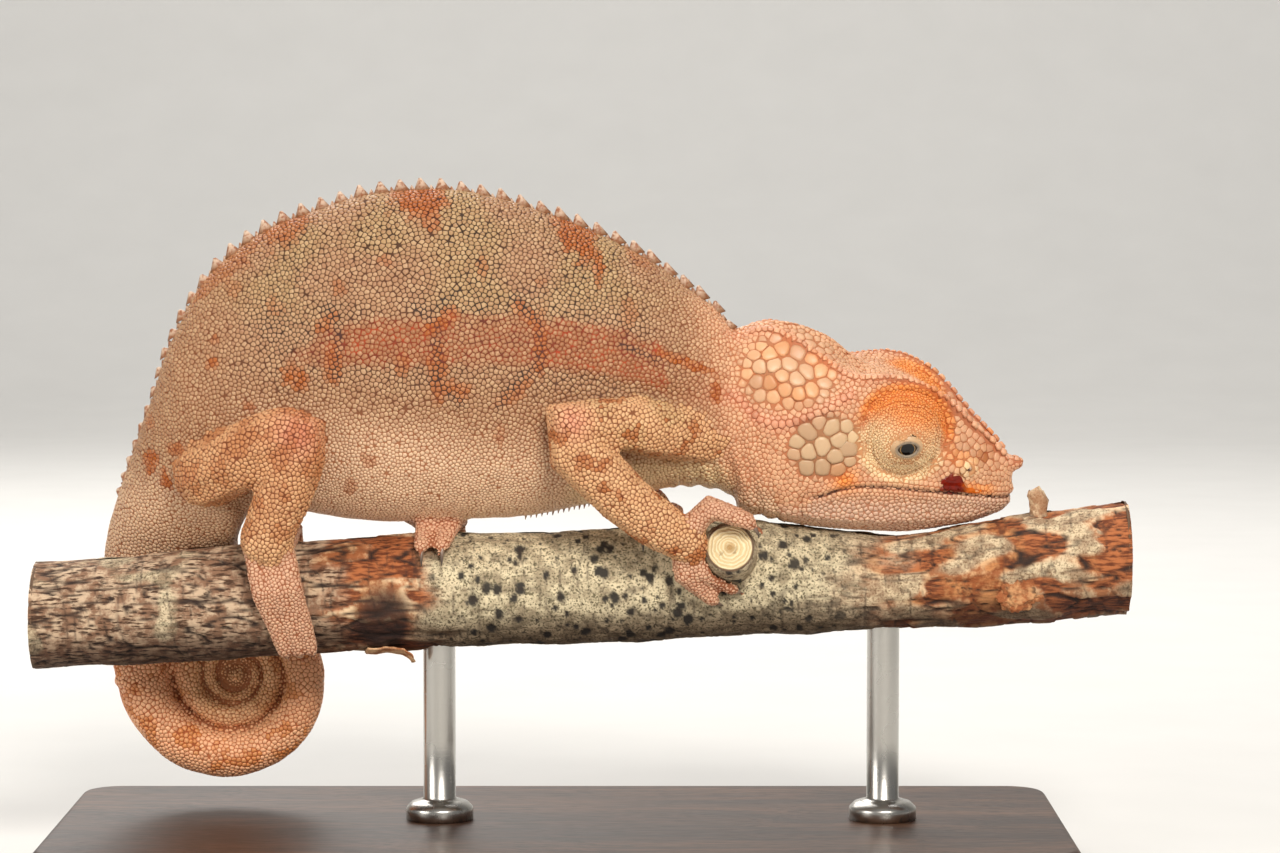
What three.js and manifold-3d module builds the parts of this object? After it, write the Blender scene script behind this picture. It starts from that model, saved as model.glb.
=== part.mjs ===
// A chameleon at life size, gripping a cut length of branch, on a plain display stand.
// Millimetres, +Z up, head towards +X, right flank towards -Y. The origin is the middle of the
// underside of the stand's base. Flesh is lofted through named lines and then parted by thin cuts.

import * as THREE from 'three';
import { mergeVertices } from 'three/addons/utils/BufferGeometryUtils.js';
import Module from 'manifold-3d';

const wasm = await Module();
wasm.setup();

// ---- driving dimensions ----
const gap = 0.3;               // clearance between neighbouring pieces
const half = gap / 2;
const far = 300;               // size of a cutting block, well past the model

const headBack = [27.4, 2.1, 58.4]; // where the head's own frame sits: under the back of the casque
const headRoll = 12;           // degrees that the crown leans towards the right flank
const turretRadius = 6.3;
const turretCentre = [22.8, 5.5, 9.4];
const septum = 1.3;            // half the wall of head between the two turrets
const eyeRadius = 2.6;
const eyeDepth = 3.7;          // from the turret's centre to the eyeball's centre
const gazeRight = [0.1, 0.975, -0.2];
const gazeLeft = [0.34, 0.93, 0.12];

const coilPole = [-49.6, 27.9];
const coilRadius = 18.4;       // from the pole to the outside of the first turn
const coilShrink = 0.53;       // each turn is this much of the one before
const coilTurns = 3.5;
const coilSide = 14;           // the coil hangs on the far side of the branch
const coilPlay = 0.04;         // added to the gap between turns, for their flat facets
const coilFlatness = 0.94;     // thickness across the coil over its width
const tipTaper = 0.22;         // turns over which the tip narrows
const tipBlunt = 0.25;         // width of the very tip over the width it would have

const crestSpacing = 3.0;
const crestHeight = 1.35;
const crestSunk = 2.1;         // a whole cone over the height that stands clear of the back
const crestFlat = 0.55;        // thickness of a cone over its length along the back
const flankFullness = 0.17;    // how much fuller the flank is low down than high up
const tailFullness = 0.05;
const baseSize = [150, 64, 8];
const baseCorner = 6;
const baseEdge = 1.2;
const rodRadius = 2.4;
const collarRadius = 5;
const rodPlaces = { front: 48, rear: -18 };

// ---- helpers: smooth lines and lofts ----
/** A smooth function through stops [t, value, value...]. */
function line(stops) {
  const count = stops[0].length - 1;
  const smooth = new THREE.CubicInterpolant(
    stops.map((s) => s[0]),
    stops.flatMap((s) => s.slice(1)),
    count,
  );
  return (t) => Array.from(smooth.evaluate(t));
}

/** Evenly spread numbers from a to b. */
function spread(a, b, count) {
  return Array.from({ length: count }, (_, i) => a + ((b - a) * i) / (count - 1));
}

/** A closed geometry through rings of points: a cylinder whose rows are moved onto the rings. */
function loft(rings) {
  const sides = rings[0].length;
  const rows = rings.length - 1;
  const geometry = new THREE.CylinderGeometry(1, 1, 1, sides, rows);
  const place = geometry.attributes.position;
  const middles = rings.map((ring) =>
    ring.reduce((sum, p) => sum.add(p), new THREE.Vector3()).divideScalar(sides));
  for (let i = 0; i < place.count; i++) {
    const row = Math.round((0.5 - place.getY(i)) * rows);
    const turn = Math.atan2(place.getX(i), place.getZ(i)) / (2 * Math.PI);
    const side = (Math.round(turn * sides) + sides) % sides;
    const onAxis = Math.hypot(place.getX(i), place.getZ(i)) < 0.5;
    const point = onAxis ? middles[row] : rings[row][side];
    place.setXYZ(i, point.x, point.y, point.z);
  }
  return geometry;
}

/** A manifold solid from a closed geometry, turned so that its faces point out. */
function solid(geometry) {
  const bare = geometry.index ? geometry.clone() : mergeVertices(geometry);
  bare.deleteAttribute('normal');
  bare.deleteAttribute('uv');
  const merged = mergeVertices(bare, 1e-4);
  const triVerts = new Uint32Array(merged.index.array);
  const vertProperties = new Float32Array(merged.attributes.position.array);
  const at = (i) => new THREE.Vector3().fromArray(vertProperties, 3 * i);
  let volume = 0;
  for (let i = 0; i < triVerts.length; i += 3) {
    volume += at(triVerts[i]).dot(at(triVerts[i + 1]).cross(at(triVerts[i + 2])));
  }
  if (volume < 0) triVerts.reverse();
  return new wasm.Manifold(new wasm.Mesh({ numProp: 3, vertProperties, triVerts }));
}

/** The largest single body of a solid, without crumbs that a cut leaves. */
function largest(shape) {
  return shape.decompose().sort((a, b) => b.volume() - a.volume())[0];
}

/** Cuts each of the other solids out of the first. */
function carve(shape, ...others) {
  return largest(others.reduce((rest, other) => rest.subtract(other), shape));
}

/** A block whose flat side passes through two points of the side view, on the left of p to q. */
function block(p, q, clearance) {
  const along = new THREE.Vector2(q[0] - p[0], q[1] - p[1]).normalize();
  const out = new THREE.Vector2(-along.y, along.x);
  const shift = far / 2 + clearance;
  const geometry = new THREE.BoxGeometry(far, far, far);
  geometry.rotateY(-Math.atan2(along.y, along.x));
  geometry.translate(p[0] + out.x * shift, 0, p[1] + out.y * shift);
  return solid(geometry);
}

/** Parts a solid along a line of the side view: [left of p to q, right of it], a gap between. */
function part(shape, p, q) {
  return [shape.intersect(block(p, q, half)), shape.intersect(block(q, p, half))];
}

/** Rings of a round limb along stops [x, y, z, width, thickness], with domed ends. The width is
 *  measured square to the axle, a way that the limb never runs along. */
function limbRings(stops, { sides, rows, domes, grow, axle }) {
  const curve = new THREE.CatmullRomCurve3(stops.map((s) => new THREE.Vector3(s[0], s[1], s[2])));
  const sizes = line(stops.map((s, i) => [i / (stops.length - 1), s[3], s[4]]));
  const dome = domes.map(THREE.MathUtils.degToRad);
  const steps = [
    ...dome.map((a) => [0, -Math.sin(a), Math.cos(a)]),
    ...spread(0, 1, rows).map((t) => [t, 0, 1]),
    ...dome.toReversed().map((a) => [1, Math.sin(a), Math.cos(a)]),
  ];
  return steps.map(([t, past, scale]) => {
    const [wide, thick] = sizes(t).map((s) => s + grow);
    const ahead = curve.getTangent(t);
    const across = new THREE.Vector3(...axle).cross(ahead).normalize();
    const out = new THREE.Vector3().crossVectors(ahead, across);
    const middle = curve.getPoint(t).addScaledVector(ahead, past * thick);
    return spread(0, 2 * Math.PI, sides + 1).slice(0, sides).map((a) => middle.clone()
      .addScaledVector(across, Math.cos(a) * wide * scale)
      .addScaledVector(out, Math.sin(a) * thick * scale));
  });
}

/** A limb or toe as a solid. */
function limb(stops, {
  sides = 8, rows = 13, domes = [72, 34], grow = 0, axle = [0, 1, 0],
} = {}) {
  return solid(loft(limbRings(stops, { sides, rows, domes, grow, axle })));
}

// ---- the branch ----
// [x, height of the axis, radius] along the cut length
const perchStops = [
  [-78, 38.6, 7.8], [-68, 39.1, 8.0], [-48, 40.6, 8.4], [-24, 42.0, 8.5], [6, 42.9, 8.4],
  [30, 44.0, 8.4], [50, 43.7, 7.1], [65, 45.1, 7.8], [84, 47.2, 8.5],
];
const perchLine = line(perchStops);
const perchEnds = [-78, 84];
const perchRings = 11;
const perchSides = 11;
const stubBase = [24.9, -2, 46.2];
const stubEnd = [24.9, -13.2, 49.9];
const stubRadius = 3.9;
const stubCollar = 1;             // how much wider the stub is where it leaves the branch
const nubPlace = [71.4, 55, 0.5]; // x, height and depth of a dead bud's middle
const nubRadius = 2.1;
const nubLength = 7.5;

/** A point round the branch: angle in degrees from its top, positive towards the right flank. */
function round(x, angle, radius) {
  const a = THREE.MathUtils.degToRad(angle);
  return [x, -radius * Math.sin(a), perchLine(x)[0] + radius * Math.cos(a)];
}

/** The slight unevenness of the bark: two slow waves that run round and along the branch. */
function uneven(x, angle) {
  return 0.14 * Math.sin(0.21 * x + angle / 29) + 0.1 * Math.sin(0.5 * x - angle / 41);
}

function perch(grow = 0) {
  const angles = spread(0, 360, perchSides + 1).slice(0, perchSides);
  const rings = spread(...perchEnds, perchRings).map((x) => angles.map((angle) =>
    new THREE.Vector3(...round(x, angle, perchLine(x)[1] + grow + uneven(x, angle)))));
  const stub = new THREE.CylinderGeometry(
    stubRadius + grow, stubRadius + stubCollar + grow, 1, perchSides);
  const from = new THREE.Vector3(...stubBase);
  const to = new THREE.Vector3(...stubEnd);
  const way = to.clone().sub(from);
  stub.scale(1, way.length(), 1);
  stub.applyQuaternion(new THREE.Quaternion().setFromUnitVectors(
    new THREE.Vector3(0, 1, 0), way.normalize()));
  stub.translate(...from.add(to).divideScalar(2).toArray());
  const nub = new THREE.ConeGeometry(nubRadius + grow, nubLength + grow, 6);
  nub.translate(nubPlace[0], nubPlace[1], nubPlace[2]);
  nub.rotateX(Math.PI / 2);
  return solid(loft(rings)).add(solid(stub)).add(solid(nub));
}

// ---- the body from nape to tail ----
// each stop is a section: [back x, back z, belly x, belly z, half width, side shift, roll]
const bodyStops = [
  [31.4, 79.0, 34.0, 56.0, 7.4, -0.6, 12],
  [26.2, 80.7, 28.9, 55.2, 8.5, -0.4, 10],
  [23.1, 84.2, 24.0, 57.0, 9.0, 0, 6],
  [17.3, 88.5, 19.3, 57.8, 9.8, 0, 2],
  [11.3, 92.6, 12.6, 57.0, 11.0, 0, 0],
  [3.2, 96.3, 4.7, 55.2, 12.2, 0, 0],
  [-6.9, 99.8, -6.2, 53.2, 12.8, 0, 0],
  [-16.7, 101.7, -16.7, 52.8, 13.0, 0, 0],
  [-26.6, 101.3, -26.4, 52.5, 12.4, 0, 0],
  [-35.3, 98.9, -31.9, 52.9, 11.4, 0, 0],
  [-43.8, 95.5, -37.9, 54.0, 10.0, 0, 0],
  [-51.8, 89.0, -43.0, 54.4, 8.8, 0, 0],
  [-57.5, 79.6, -45.9, 53.8, 8.0, 0.3, 0],
  [-60.5, 70.8, -47.0, 52.4, 7.5, 1.0, 0],
  [-63.0, 64.6, -47.9, 50.4, 7.0, 3.0, 0],
  [-66.5, 55.6, -48.8, 47.2, 6.4, 7.6, 0],
  [-69.4, 46.5, -51.0, 41.6, 5.7, 12.4, 0],
  [-69.5, 36.6, -58.2, 36.4, 4.9, 14.0, 0],
  [-68.1, 28.1, -60.0, 28.1, 4.1, 14.0, 0],
];
const bodyLine = line(bodyStops.map((stop, i) => [i, ...stop]));
const lastStop = bodyStops.length - 1;
const rumpStop = 12;
const bodyRings = 28;
const bodySides = 14;

/** The section's frame at t: its middle, its way up and its sizes. */
function bodySection(t) {
  const [backX, backZ, bellyX, bellyZ, wide, shift, roll] = bodyLine(t);
  const back = new THREE.Vector3(backX, shift, backZ);
  const belly = new THREE.Vector3(bellyX, shift, bellyZ);
  const up = back.clone().sub(belly).divideScalar(2);
  const ahead = new THREE.Vector3(up.z, 0, -up.x).normalize();
  up.applyAxisAngle(ahead, THREE.MathUtils.degToRad(roll));
  const across = new THREE.Vector3().crossVectors(up, ahead).normalize();
  return { middle: back.add(belly).divideScalar(2), up, across, wide };
}

/** A ring that is narrow along the back and fuller low on the flank. */
function bodyRing(t, sides, grow) {
  const { middle, up, across, wide } = bodySection(t);
  const low = t < rumpStop ? flankFullness : tailFullness;
  const tall = 1 + grow / up.length();
  return spread(0, 2 * Math.PI, sides + 1).slice(0, sides).map((a) => {
    const fullness = 1 - low * Math.cos(a);
    return middle.clone()
      .addScaledVector(up, Math.cos(a) * tall)
      .addScaledVector(across, Math.sin(a) * fullness * (wide + grow));
  });
}

function body(grow = 0) {
  return solid(loft(spread(0, lastStop, bodyRings).map((t) => bodyRing(t, bodySides, grow))));
}

/** A row of pointed scales, as one solid each: four-sided cones, flat across the row. */
function cones(count, placeAt) {
  const row = [];
  for (let i = 0; i < count; i++) {
    const { root, out, ahead, height } = placeAt(i);
    const cone = new THREE.ConeGeometry(0.42 * crestSpacing, crestSunk * height, 4);
    cone.scale(1, 1, crestFlat);
    const across = new THREE.Vector3().crossVectors(ahead, out);
    cone.applyMatrix4(new THREE.Matrix4().makeBasis(ahead, out, across));
    cone.translate(...root.toArray());
    row.push(solid(cone));
  }
  return row;
}

/** Places crest cones evenly along the back from t0 to t1 of the body line. */
function backCrest(t0, t1) {
  const at = (t) => {
    const { middle, up } = bodySection(t);
    return middle.clone().add(up);
  };
  const walk = spread(t0, t1, 400);
  const places = [];
  let travelled = 0;
  walk.forEach((t, i) => {
    if (i > 0) travelled += at(t).distanceTo(at(walk[i - 1]));
    if (travelled >= places.length * crestSpacing) places.push(t);
  });
  return cones(places.length, (i) => {
    const t = places[i];
    const ahead = at(t - 0.02).sub(at(t + 0.02)).normalize();
    const out = new THREE.Vector3(-ahead.z, 0, ahead.x);
    const fade = THREE.MathUtils.clamp((lastStop - 4 - t) / 4, 0.35, 1);
    const neckFade = THREE.MathUtils.clamp((t - 0.6) / 1.5, 0.5, 1);
    return { root: at(t), out, ahead, height: crestHeight * fade * neckFade };
  });
}

// ---- the coiled tail ----
/** Rings of the coil from turn n0 to n1, its turns a gap apart. */
function coilRings(n0, n1, rows) {
  return spread(n0, n1, rows).map((n) => {
    const outside = coilRadius * coilShrink ** n;
    const inside = outside * coilShrink + gap + coilPlay;
    const tip = THREE.MathUtils.smoothstep(coilTurns - n, 0, tipTaper);
    const wide = ((outside - inside) / 2) * Math.max(tip, tipBlunt);
    const a = Math.PI + 2 * Math.PI * n;
    const out = new THREE.Vector3(Math.cos(a), 0, Math.sin(a));
    const middle = new THREE.Vector3(coilPole[0], coilSide, coilPole[1])
      .addScaledVector(out, (outside + inside) / 2);
    return spread(0, 2 * Math.PI, 10).slice(0, 9).map((b) => middle.clone()
      .addScaledVector(out, Math.cos(b) * wide)
      .add(new THREE.Vector3(0, Math.sin(b) * wide * coilFlatness, 0)));
  });
}

// ---- the head, in its own frame: x forward from the back of the casque, z up from the lips ----
// lines along the right half of the head, [x, half width, height]; the left half mirrors them
const crown = line([[-2, 0, 23.2], [3, 0, 24.7], [7, 0, 24.4], [11, 0, 23], [15, 0, 20.9],
  [18, 0, 19.0], [22, 0, 17.3], [26, 0, 15.6], [30, 0, 12.5], [34, 0, 8.5], [39.3, 0, 3.4]]);
const ridge = line([[-2, 1.6, 22.7], [3, 2.2, 23.9], [7, 3.2, 22.7], [11, 4.7, 20.3],
  [15.4, 6.2, 17.8], [18.5, 7.0, 17.9], [21.5, 7.3, 18.0], [25.6, 6.9, 16.9], [29, 5.8, 14.5],
  [33.5, 3.4, 9.6], [37.5, 1.9, 5.6], [39.3, 1.3, 3.3]]);
const temple = line([[-2, 4.6, 20.5], [2, 6.2, 19.8], [6, 8.3, 16.8], [10, 9.2, 15], [15.4, 8.8, 13],
  [20, 7.4, 12], [27, 6.6, 11], [31, 5.2, 9.2], [34, 3.9, 7], [39.3, 1.9, 2.4]]);
const cheek = line([[-2, 8.2, 12], [3, 9.4, 10], [8, 10, 7.5], [14, 9.6, 6], [20, 8.4, 5],
  [26, 7.5, 4.4], [31, 6.3, 3.9], [35, 4.8, 3], [39.3, 2.2, 0.8]]);
const lip = line([[-2, 8.4, 3.6], [5, 9.2, 0.6], [9.3, 9.2, 0], [15, 8.8, 1.5], [22, 8.2, 1.3],
  [27, 7.3, 0.5], [33, 5.4, -0.5], [37, 3.3, -1.5], [39.3, 2.0, -1.9]]);
const jawSide = line([[-2, 7.5, -1], [5, 8.2, -2.6], [12, 8.2, -3.4], [20, 7.4, -4],
  [28, 5.8, -4.2], [34, 4, -4.2], [39.3, 1.6, -3.2]]);
const jawEdge = line([[-2, 4, -3.4], [5, 4.6, -4.8], [12, 4.6, -6.1], [20, 4.2, -6.9],
  [28, 3.4, -6.6], [34, 2.4, -5.6], [39.3, 0.9, -3.9]]);
const chin = line([[-2, 0, -3.8], [5, 0, -5.2], [12, 0, -6.6], [20, 0, -7.3], [28, 0, -7],
  [34, 0, -6], [39.3, 0, -4.1]]);
const headLines = [crown, ridge, temple, cheek, lip, jawSide, jawEdge, chin];
const snout = 39.3;            // where the lines of the head end
const mouthCorner = 9.3;       // where the mouth ends, under the back of the eye
const noseRadius = 1.7;        // the blunt knob at the tip of the snout
const noseLength = 5;
const noseDroop = 18;          // degrees that it points down
const nosePlace = [38.7, 0, 2.3];

function toHead(geometry) {
  geometry.rotateX(THREE.MathUtils.degToRad(headRoll));
  geometry.translate(...headBack);
  return geometry;
}

function headRing(x, scale = 1) {
  const right = headLines.map((profile) => profile(x)).map(([y, z]) => [-y, z]);
  const left = right.slice(1, -1).map(([y, z]) => [-y, z]).toReversed();
  const middle = new THREE.Vector3(x, 0, (crown(x)[1] + chin(x)[1]) / 2);
  return [...right, ...left].map(([y, z]) => new THREE.Vector3(x, y, z).lerp(middle, 1 - scale));
}

function skull() {
  const rings = [
    headRing(-2, 0.75),
    ...spread(-1, 38.4, 17).map((x) => headRing(x)),
    headRing(39.2, 0.86),
    headRing(snout + 0.4, 0.45),
  ];
  const nose = new THREE.ConeGeometry(noseRadius, noseLength, 6);
  nose.rotateZ(THREE.MathUtils.degToRad(-90 - noseDroop));
  nose.translate(...nosePlace);
  return solid(toHead(loft(rings))).add(solid(toHead(nose)));
}

/** The region of the head below the line of the mouth, as seen from the side. */
function belowMouth(clearance) {
  const shape = new THREE.Shape();
  const ahead = snout + 6;
  const below = -20;
  const hinge = mouthCorner - 5;
  const wide = 60;
  shape.moveTo(mouthCorner, lip(mouthCorner)[1] - clearance);
  spread(mouthCorner + 2, snout, 8).forEach((x) => shape.lineTo(x, lip(x)[1] - clearance));
  shape.lineTo(ahead, lip(snout)[1] - clearance);
  shape.lineTo(ahead, below);
  shape.lineTo(hinge + clearance, below);
  const geometry = new THREE.ExtrudeGeometry(shape, { depth: wide, bevelEnabled: false });
  geometry.rotateX(Math.PI / 2);
  geometry.translate(0, wide / 2, 0);
  return solid(toHead(geometry));
}

function ball(radius, centre, side, rings) {
  const geometry = new THREE.SphereGeometry(radius, 2 * rings, rings);
  geometry.translate(centre[0], side * centre[1], centre[2]);
  return solid(toHead(geometry));
}

/** The cone of scaly lids round one eye, and the eyeball that looks out of it. */
function eye(side, gaze) {
  const look = new THREE.Vector3(...gaze).normalize().multiplyScalar(eyeDepth);
  const centre = turretCentre.map((c, i) => c + look.getComponent(i));
  const wall = (grow) => solid(toHead(new THREE.BoxGeometry(far, 2 * (septum - grow), far)));
  return {
    turret: (grow) => ball(turretRadius + grow, turretCentre, side, 6).subtract(wall(grow)),
    eyeball: (grow) => ball(eyeRadius + grow, centre, side, 5),
  };
}

// ---- legs and feet ----
const toeEnd = 0.95;           // half thickness of a toe at its tip
const toeHeel = 1.15;          // its half thickness at the root over that past the root
const toeFan = 0.8;            // how far the roots of a bundle stand apart over its toes
const clawRadius = 0.5;
const clawLength = 2.6;
const clawReach = 1.7;         // from the toe's last stop to the middle of its claw

/** A bundle of toes along stops of their own, with a claw at each tip and a sole across the roots. */
function toes(paths, sole, grow = 0) {
  const pieces = sole ? [limb(sole, { rows: 2, domes: [50], grow })] : [];
  const fingers = paths.map((stops) => {
    const [tip, before] = [stops.at(-1), stops.at(-2)];
    const ahead = new THREE.Vector3(tip[0] - before[0], tip[1] - before[1], tip[2] - before[2]);
    const claw = new THREE.ConeGeometry(clawRadius + grow, clawLength + grow, 4);
    claw.applyQuaternion(new THREE.Quaternion().setFromUnitVectors(
      new THREE.Vector3(0, 1, 0), ahead.normalize()));
    claw.translate(...new THREE.Vector3(...tip).addScaledVector(ahead, clawReach).toArray());
    pieces.push(solid(claw));
    const axle = Math.abs(ahead.x) < 0.5 ? [1, 0, 0] : [0, 1, 0];
    return limb(stops, { sides: 6, rows: 3, domes: [50], grow, axle });
  });
  return [...fingers, ...pieces].reduce((sum, piece) => sum.add(piece));
}

/** Toe paths that wrap round the branch from one angle to another, fanned along it. */
function wrap({ xs, spreadTo, from, to, rise, thick, root, broad = 1.05, fan = toeFan }) {
  return xs.map((x, i) => {
    const end = spreadTo[i];
    const turns = spread(from, to, 4);
    const heel = THREE.MathUtils.lerp(root[0], x, fan);
    return [
      [heel, root[1], root[2], thick * toeHeel, thick * toeHeel],
      ...turns.map((angle, k) => {
        const s = k / 3;
        const size = THREE.MathUtils.lerp(thick, toeEnd, s);
        const lift = THREE.MathUtils.lerp(rise, 0.55, s);
        const at = THREE.MathUtils.lerp(x, end, s);
        return [...round(at, angle, perchLine(at)[1] + size + lift), size, size * broad];
      }),
    ];
  });
}

// whole legs: [x, y, z, width, thickness] from deep in the body to the wrist or ankle
const legs = {
  fore_right: {
    names: ['fore_right_upper', 'fore_right_lower', 'fore_right_inner_toes', 'fore_right_outer_toes'],
    stops: [[22, -5, 65.6, 4.6, 4.4], [15, -9.6, 67, 4.4, 4.0], [7.4, -14, 67.8, 3.9, 3.6],
      [0.9, -16, 67.2, 4.4, 3.9], [5, -15.8, 61.8, 4.2, 3.8], [12.2, -14.6, 55, 3.9, 3.4],
      [16.6, -13.6, 51.9, 3.4, 3.0], [19.2, -12.9, 50.2, 3.0, 2.8]],
    joint: [[-4, 69.4], [12, 62.3]],
    inner: [0, 1, 2].map((k) => {
      const y = -14.9 + 2.3 * k;
      return [[18.2, -12.9, 51.8, 2, 1.9], [19.8, y, 54.0, 1.7, 1.8], [22.2, y, 55.7, 1.7, 1.8],
        [25.2, y, 55.6, 1.6, 1.7], [27.6, y + 0.3, 53.7, 1.2, 1.3]];
    }),
    outer: [0, 1].map((k) => [
      [18.4 - 0.4 * k, -12.9, 50.5, 2.2, 2.1], [20.2 - 2.3 * k, -12.3, 47.6 - 0.2 * k, 1.9, 1.8],
      [22.3 - 2.9 * k, -11.3, 45.3 - 0.9 * k, 1.6, 1.5], [25.2 - 2.9 * k, -9.9, 43.6 - 1.5 * k, 1.1, 1.1],
    ]),
  },
  fore_left: {
    names: ['fore_left_upper', 'fore_left_lower', 'fore_left_inner_toes', 'fore_left_outer_toes'],
    stops: [[22, 5, 65, 4.4, 4.2], [15, 9.5, 65.8, 4.2, 3.8], [8, 13.6, 66, 3.7, 3.4],
      [2.8, 15.4, 65.2, 4.0, 3.5], [6.5, 14.6, 60.2, 4.0, 3.4], [10.6, 12, 56, 3.5, 3.0],
      [14, 9, 53.4, 2.9, 2.6]],
    joint: [[-2, 67.4], [14, 60.3]],
    inner: wrap({ xs: [11.7, 14.1, 16.5], spreadTo: [12.3, 14.6, 16.9], from: -12, to: 34,
      rise: 0.8, thick: 1.1, root: [14.1, 6.6, 52.8], fan: 1 }),
    sole: [[11.4, 6.6, 52.8, 1.9, 1.8], [16.8, 6.6, 52.8, 1.9, 1.8]],
    outer: wrap({ xs: [12.8, 15.4], spreadTo: [13.2, 15.6], from: -50, to: -118,
      rise: 0.7, thick: 1.5, root: [14.2, 8, 52.4] }),
  },
  hind_right: {
    names: ['hind_right_thigh', 'hind_right_shank', 'hind_right_inner_toes', 'hind_right_outer_toes'],
    stops: [[-52, -5, 60, 5.2, 5], [-46, -10.2, 62.8, 5.2, 4.6], [-40.4, -12.2, 65.8, 4.5, 4.1],
      [-37.2, -12.8, 65.9, 4.1, 3.8], [-38.6, -12.6, 61, 4.3, 3.6], [-40.8, -12, 55.6, 4.1, 3.3],
      [-42.8, -11.2, 50.2, 3.9, 3.1]],
    joint: [[-47, 55.8], [-33, 70.3]],
    inner: wrap({ xs: [-42.6, -40], spreadTo: [-41.6, -39.2], from: 14, to: -92,
      rise: 1.0, thick: 1.5, root: [-42.6, -9.8, 49.6] }),
    outer: wrap({ xs: [-45.0, -42.2, -39.6], spreadTo: [-40.4, -38.4, -36.4], from: 52, to: 136,
      rise: 1.5, thick: 1.6, root: [-43, -10.8, 50.2] }),
  },
  hind_left: {
    names: ['hind_left_thigh', 'hind_left_shank', 'hind_left_inner_toes', 'hind_left_outer_toes'],
    stops: [[-52, 4, 59, 4.6, 4.4], [-45.5, 9.6, 60.8, 4.4, 3.9], [-39, 12.8, 62.4, 3.9, 3.5],
      [-34.5, 13.8, 62.6, 3.7, 3.4], [-30, 13.2, 59.4, 3.8, 3.3], [-25, 11.4, 55.8, 3.3, 2.9],
      [-20.6, 8.4, 53.2, 2.8, 2.6]],
    joint: [[-36, 55], [-33, 70]],
    inner: wrap({ xs: [-19.2, -15.4], spreadTo: [-20.2, -17.2], from: -16, to: 42,
      rise: 0.8, thick: 1.7, root: [-17.4, 6.6, 52.4], broad: 1.3 }),
    outer: wrap({ xs: [-20.6, -18, -15.4], spreadTo: [-19.6, -17.6, -15.6], from: -52, to: -122,
      rise: 0.8, thick: 1.5, root: [-18.6, 7.6, 52.0] }),
  },
};

// ---- the stand ----
function standBase() {
  const [length, width, thick] = baseSize;
  const [x, y, r] = [length / 2 - baseEdge, width / 2 - baseEdge, baseCorner];
  const shape = new THREE.Shape();
  shape.moveTo(-x + r, -y);
  shape.lineTo(x - r, -y);
  shape.absarc(x - r, -y + r, r, -Math.PI / 2, 0);
  shape.absarc(x - r, y - r, r, 0, Math.PI / 2);
  shape.absarc(-x + r, y - r, r, Math.PI / 2, Math.PI);
  shape.absarc(-x + r, -y + r, r, Math.PI, 1.5 * Math.PI);
  const geometry = new THREE.ExtrudeGeometry(shape, {
    depth: thick - 2 * baseEdge, bevelThickness: baseEdge, bevelSize: baseEdge,
    bevelSegments: 1, curveSegments: 2,
  });
  geometry.translate(0, 0, baseEdge);
  return solid(geometry);
}

/** A rod turned in one piece with its collar, standing on the base under the branch. */
function standRod(x, branch) {
  const foot = baseSize[2] + gap;
  const top = perchLine(x)[0];
  const profile = [[0, foot], [collarRadius, foot], [collarRadius, foot + 1.6],
    [collarRadius - 0.8, foot + 2.4], [rodRadius, foot + 2.8], [rodRadius, top], [0, top]];
  const geometry = new THREE.LatheGeometry(profile.map((p) => new THREE.Vector2(...p)), 12);
  geometry.rotateX(Math.PI / 2);
  geometry.translate(x, 0, 0);
  return carve(solid(geometry), branch);
}

// ---- assembly ----
const finishes = {
  scales: { color: '#c2926c', roughness: 0.62, metalness: 0 },
  belly: { color: '#d8b595', roughness: 0.6, metalness: 0 },
  limb: { color: '#c08a60', roughness: 0.62, metalness: 0 },
  lid: { color: '#d9904e', roughness: 0.55, metalness: 0 },
  eye: { color: '#15120f', roughness: 0.08, metalness: 0 },
  bark: { color: '#9a8b70', roughness: 0.9, metalness: 0 },
  base: { color: '#5a3d28', roughness: 0.45, metalness: 0 },
  rod: { color: '#b9b6ae', roughness: 0.3, metalness: 1 },
};
const model = new THREE.Group();

function keep(name, finish, shape) {
  const { vertProperties, triVerts } = shape.getMesh();
  const geometry = new THREE.BufferGeometry();
  geometry.setAttribute('position', new THREE.BufferAttribute(vertProperties, 3));
  geometry.setIndex(new THREE.BufferAttribute(triVerts, 1));
  const mesh = new THREE.Mesh(geometry, new THREE.MeshStandardMaterial(finishes[finish]));
  mesh.name = name;
  model.add(mesh);
}

const branch = perch();
const branchRoom = perch(gap);
keep('perch', 'bark', branch);
keep('stand_base', 'base', standBase());
for (const [end, x] of Object.entries(rodPlaces)) {
  keep(`stand_rod_${end}`, 'rod', standRod(x, branchRoom));
}

const eyes = { right: eye(-1, gazeRight), left: eye(1, gazeLeft) };
const flesh = backCrest(0.75, 15).reduce((sum, piece) => sum.add(piece), body().add(skull()));
const [front, neckAndTrunk] = part(flesh, [33, 50], [26.2, 84]).toReversed();
const sockets = Object.values(eyes).map((pair) => pair.turret(gap));
const headWhole = carve(front, ...sockets, branchRoom);
keep('head', 'scales', carve(headWhole, belowMouth(-half)));
keep('jaw', 'belly', largest(headWhole.intersect(belowMouth(half))));
for (const [side, pair] of Object.entries(eyes)) {
  keep(`eyelid_${side}`, 'lid', carve(pair.turret(0), pair.eyeball(gap)));
  keep(`eye_${side}`, 'eye', pair.eyeball(0));
}

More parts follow.
